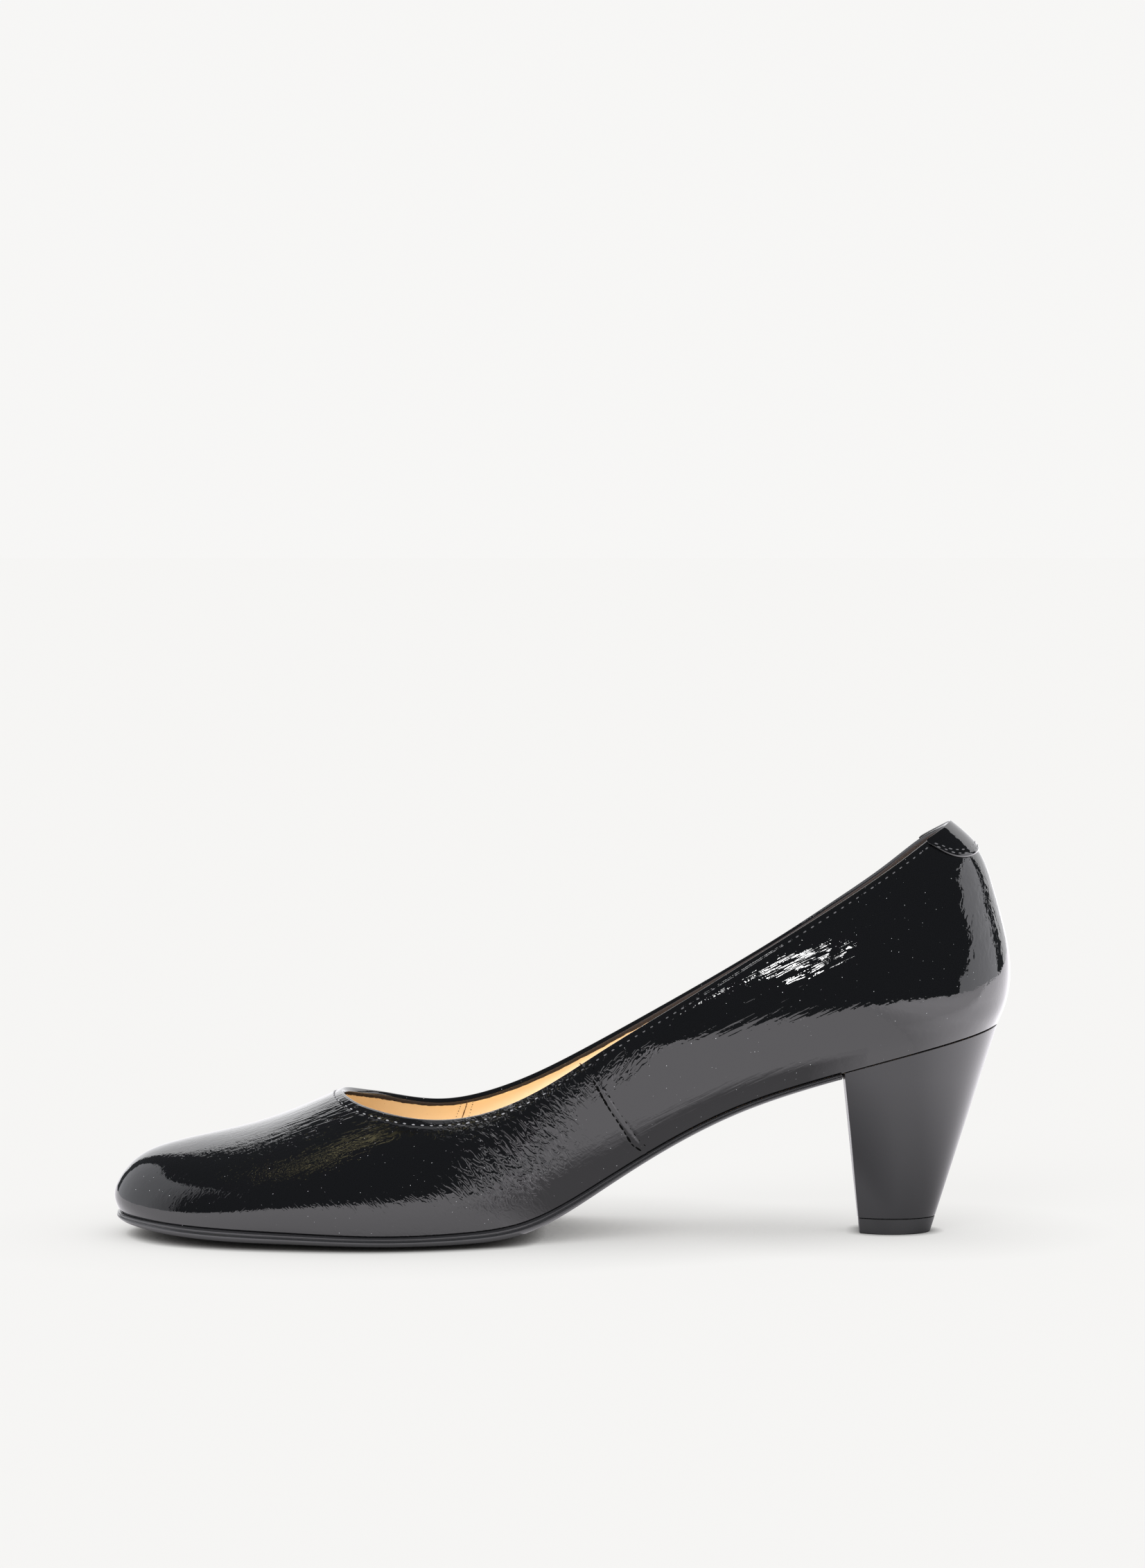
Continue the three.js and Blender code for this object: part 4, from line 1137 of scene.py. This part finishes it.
def plane(name, corners, material, camera=True, glossy=True, diffuse=True, shadow=True):
    mesh = bpy.data.meshes.new(name)
    mesh.from_pydata(corners, [], [tuple(range(len(corners)))])
    mesh.materials.append(material)
    return stageOnly(name, mesh, camera, glossy, diffuse, shadow)


def paper(name, tone, strength, shades=()):
    # a bright sweep: it glows by itself, and ambient occlusion dims the glow where the shoe closes it off:
    # painted shadow
    material, tree, shader = newMaterial(name)
    shader.inputs["Base Color"].default_value = studio["floor"]
    shader.inputs["Roughness"].default_value = 0.9
    shader.inputs["Specular IOR Level"].default_value = 0.0
    shader.inputs["Emission Color"].default_value = tone
    shader.inputs["Emission Strength"].default_value = strength
    share = strength
    for reach, power in shades:
        shade = addNode(tree, "ShaderNodeAmbientOcclusion", samples=6, Distance=reach)
        share = times(tree, mathNode(tree, "POWER", shade.outputs["AO"], power), share)
    if shades:
        join(tree, share, shader.inputs["Emission Strength"])
    return material


def glow(name, colour):
    material, tree, shader = newMaterial(name)
    tree.nodes.remove(shader)
    light = addNode(tree, "ShaderNodeEmission", Color=colour, Strength=attribute(tree, "shine"))
    join(tree, light.outputs[0], tree.nodes["Material Output"].inputs["Surface"])
    return material


def card(name, colour, rows, distance):
    # a glowing strip of a far sphere between two curves, four degrees a step, seen only in reflections: a
    # painted reflection
    rows = np.array(rows, float)
    azimuths = np.unique(np.concatenate([np.arange(rows[0, 0], rows[-1, 0], 4), rows[:, 0]]))
    lows, highs, shines = (np.interp(azimuths, rows[:, 0], rows[:, k]) for k in (1, 2, 3))
    share = np.linspace(0, 1, 7)
    elevation = np.radians(lows[:, None] * (1 - share) + highs[:, None] * share)
    around = np.radians(azimuths)[:, None]
    points = distance * np.stack([np.sin(around) * np.cos(elevation), -np.cos(around) * np.cos(elevation),
                                  np.sin(elevation) + 0 * around], -1)
    mesh = bpy.data.meshes.new(name)
    faces = plateFaces(len(azimuths), len(share))
    mesh.from_pydata([tuple(p) for p in points.reshape(-1, 3)], [], [tuple(f) for f in faces])
    shine = np.repeat(shines[:, None], len(share), 1).astype(np.float32)
    mesh.attributes.new("shine", "FLOAT", "POINT").data.foreach_set("value", shine.ravel())
    mesh.materials.append(glow(name + "Glow", colour))
    return stageOnly(name, mesh, camera=False, glossy=True, diffuse=False, shadow=False)


def sheenField(name, values):
    # a patch of the floor that only mirrors see, its brightness given at the crossings of a grid
    x, y = np.meshgrid(values["x"], values["y"], indexing="ij")
    points = np.stack([x, y, 0 * x + studio["fieldHeight"]], -1).reshape(-1, 3)
    mesh = bpy.data.meshes.new(name)
    mesh.from_pydata([tuple(p) for p in points], [], [tuple(f) for f in plateFaces(*x.shape)])
    shine = np.array(values["shine"], np.float32)
    mesh.attributes.new("shine", "FLOAT", "POINT").data.foreach_set("value", shine.ravel())
    mesh.materials.append(glow(name + "Glow", studio["sheenTone"]))
    stageOnly(name, mesh, camera=False, glossy=True, diffuse=False, shadow=False)


floorPaper = paper("floorPaper", studio["floorTone"], studio["floorGlow"])
floorShaded = paper("floorShaded", studio["floorTone"], studio["floorGlow"], studio["shades"])
sheenPaper = paper("sheenPaper", studio["sheenTone"], studio["sheenGlow"], studio["sheenShades"])
(nearX, nearY), reach = studio["near"], studio["reach"]


def rectangle(x0, x1, y0, y1, z=0):
    return [(x0, y0, z), (x1, y0, z), (x1, y1, z), (x0, y1, z)]


plane("floorNear", rectangle(-nearX, nearX, -nearY, nearY), floorShaded, glossy=False)
for name, corners in (
        ("floorToe", rectangle(-reach, -nearX, -nearY, nearY)),
        ("floorHeel", rectangle(nearX, reach, -nearY, nearY)),
        ("floorFront", rectangle(-reach, reach, -reach, -nearY)),
        ("floorBack", rectangle(-reach, reach, nearY, reach))):
    plane(name, corners, floorPaper, glossy=False)
# the floor as mirrors see it: a glowing sheet seen only in reflections, a painted reflection, dimmed near the
# shoe as painted shade
plane("floorSheen", rectangle(-reach, reach, -reach, reach, studio["sheenHeight"]), sheenPaper,
      camera=False, diffuse=False, shadow=False)
for name, values in sheenFields.items():
    sheenField(name, values)
for name, values in cards.items():
    card(name, values["colour"], values["rows"], studio["roomDistance" if name == "room" else "cardDistance"])
world = bpy.data.worlds.new("studio")
bpy.context.scene.world = world
world.use_nodes = True
world.node_tree.nodes["Background"].inputs["Color"].default_value = studio["world"]
world.node_tree.nodes["Background"].inputs["Strength"].default_value = studio["worldStrength"]
world.cycles_visibility.glossy = False


def areaLight(name, place, target, size, power, spread):
    data = bpy.data.lights.new(name, "AREA")
    data.shape, data.size, data.energy, data.spread = "DISK", size, power, math.radians(spread)
    light = bpy.data.objects.new(name, data)
    bpy.context.scene.collection.objects.link(light)
    light.location = place
    light.rotation_euler = (Vector(target) - Vector(place)).to_track_quat("-Z", "Y").to_euler()
    light.visible_camera = False
    return light


def softSun(name, azimuth, elevation, strength, spread):
    data = bpy.data.lights.new(name, "SUN")
    data.energy, data.angle = strength, math.radians(spread)
    light = bpy.data.objects.new(name, data)
    bpy.context.scene.collection.objects.link(light)
    light.rotation_euler = (math.radians(90 - elevation), 0, math.radians(azimuth))
    light.visible_glossy = False


softSun("daylight", **studio["daylight"])
areaLight("quarterLight", **studio["quarterLight"])


def makeCamera():
    data = bpy.data.cameras.new("camera")
    data.sensor_fit, data.sensor_height, data.sensor_width = "VERTICAL", studio["film"], studio["film"]
    data.lens = studio["lens"]
    camera = bpy.data.objects.new("camera", data)
    bpy.context.scene.collection.objects.link(camera)
    camera.location = studio["camera"]
    camera.rotation_euler = (math.radians(studio["tilt"]), 0, math.radians(studio["turn"]))
    bpy.context.scene.camera = camera


makeCamera()
bpy.context.scene.view_settings.view_transform = "Standard"
print("stage 11: studio made")
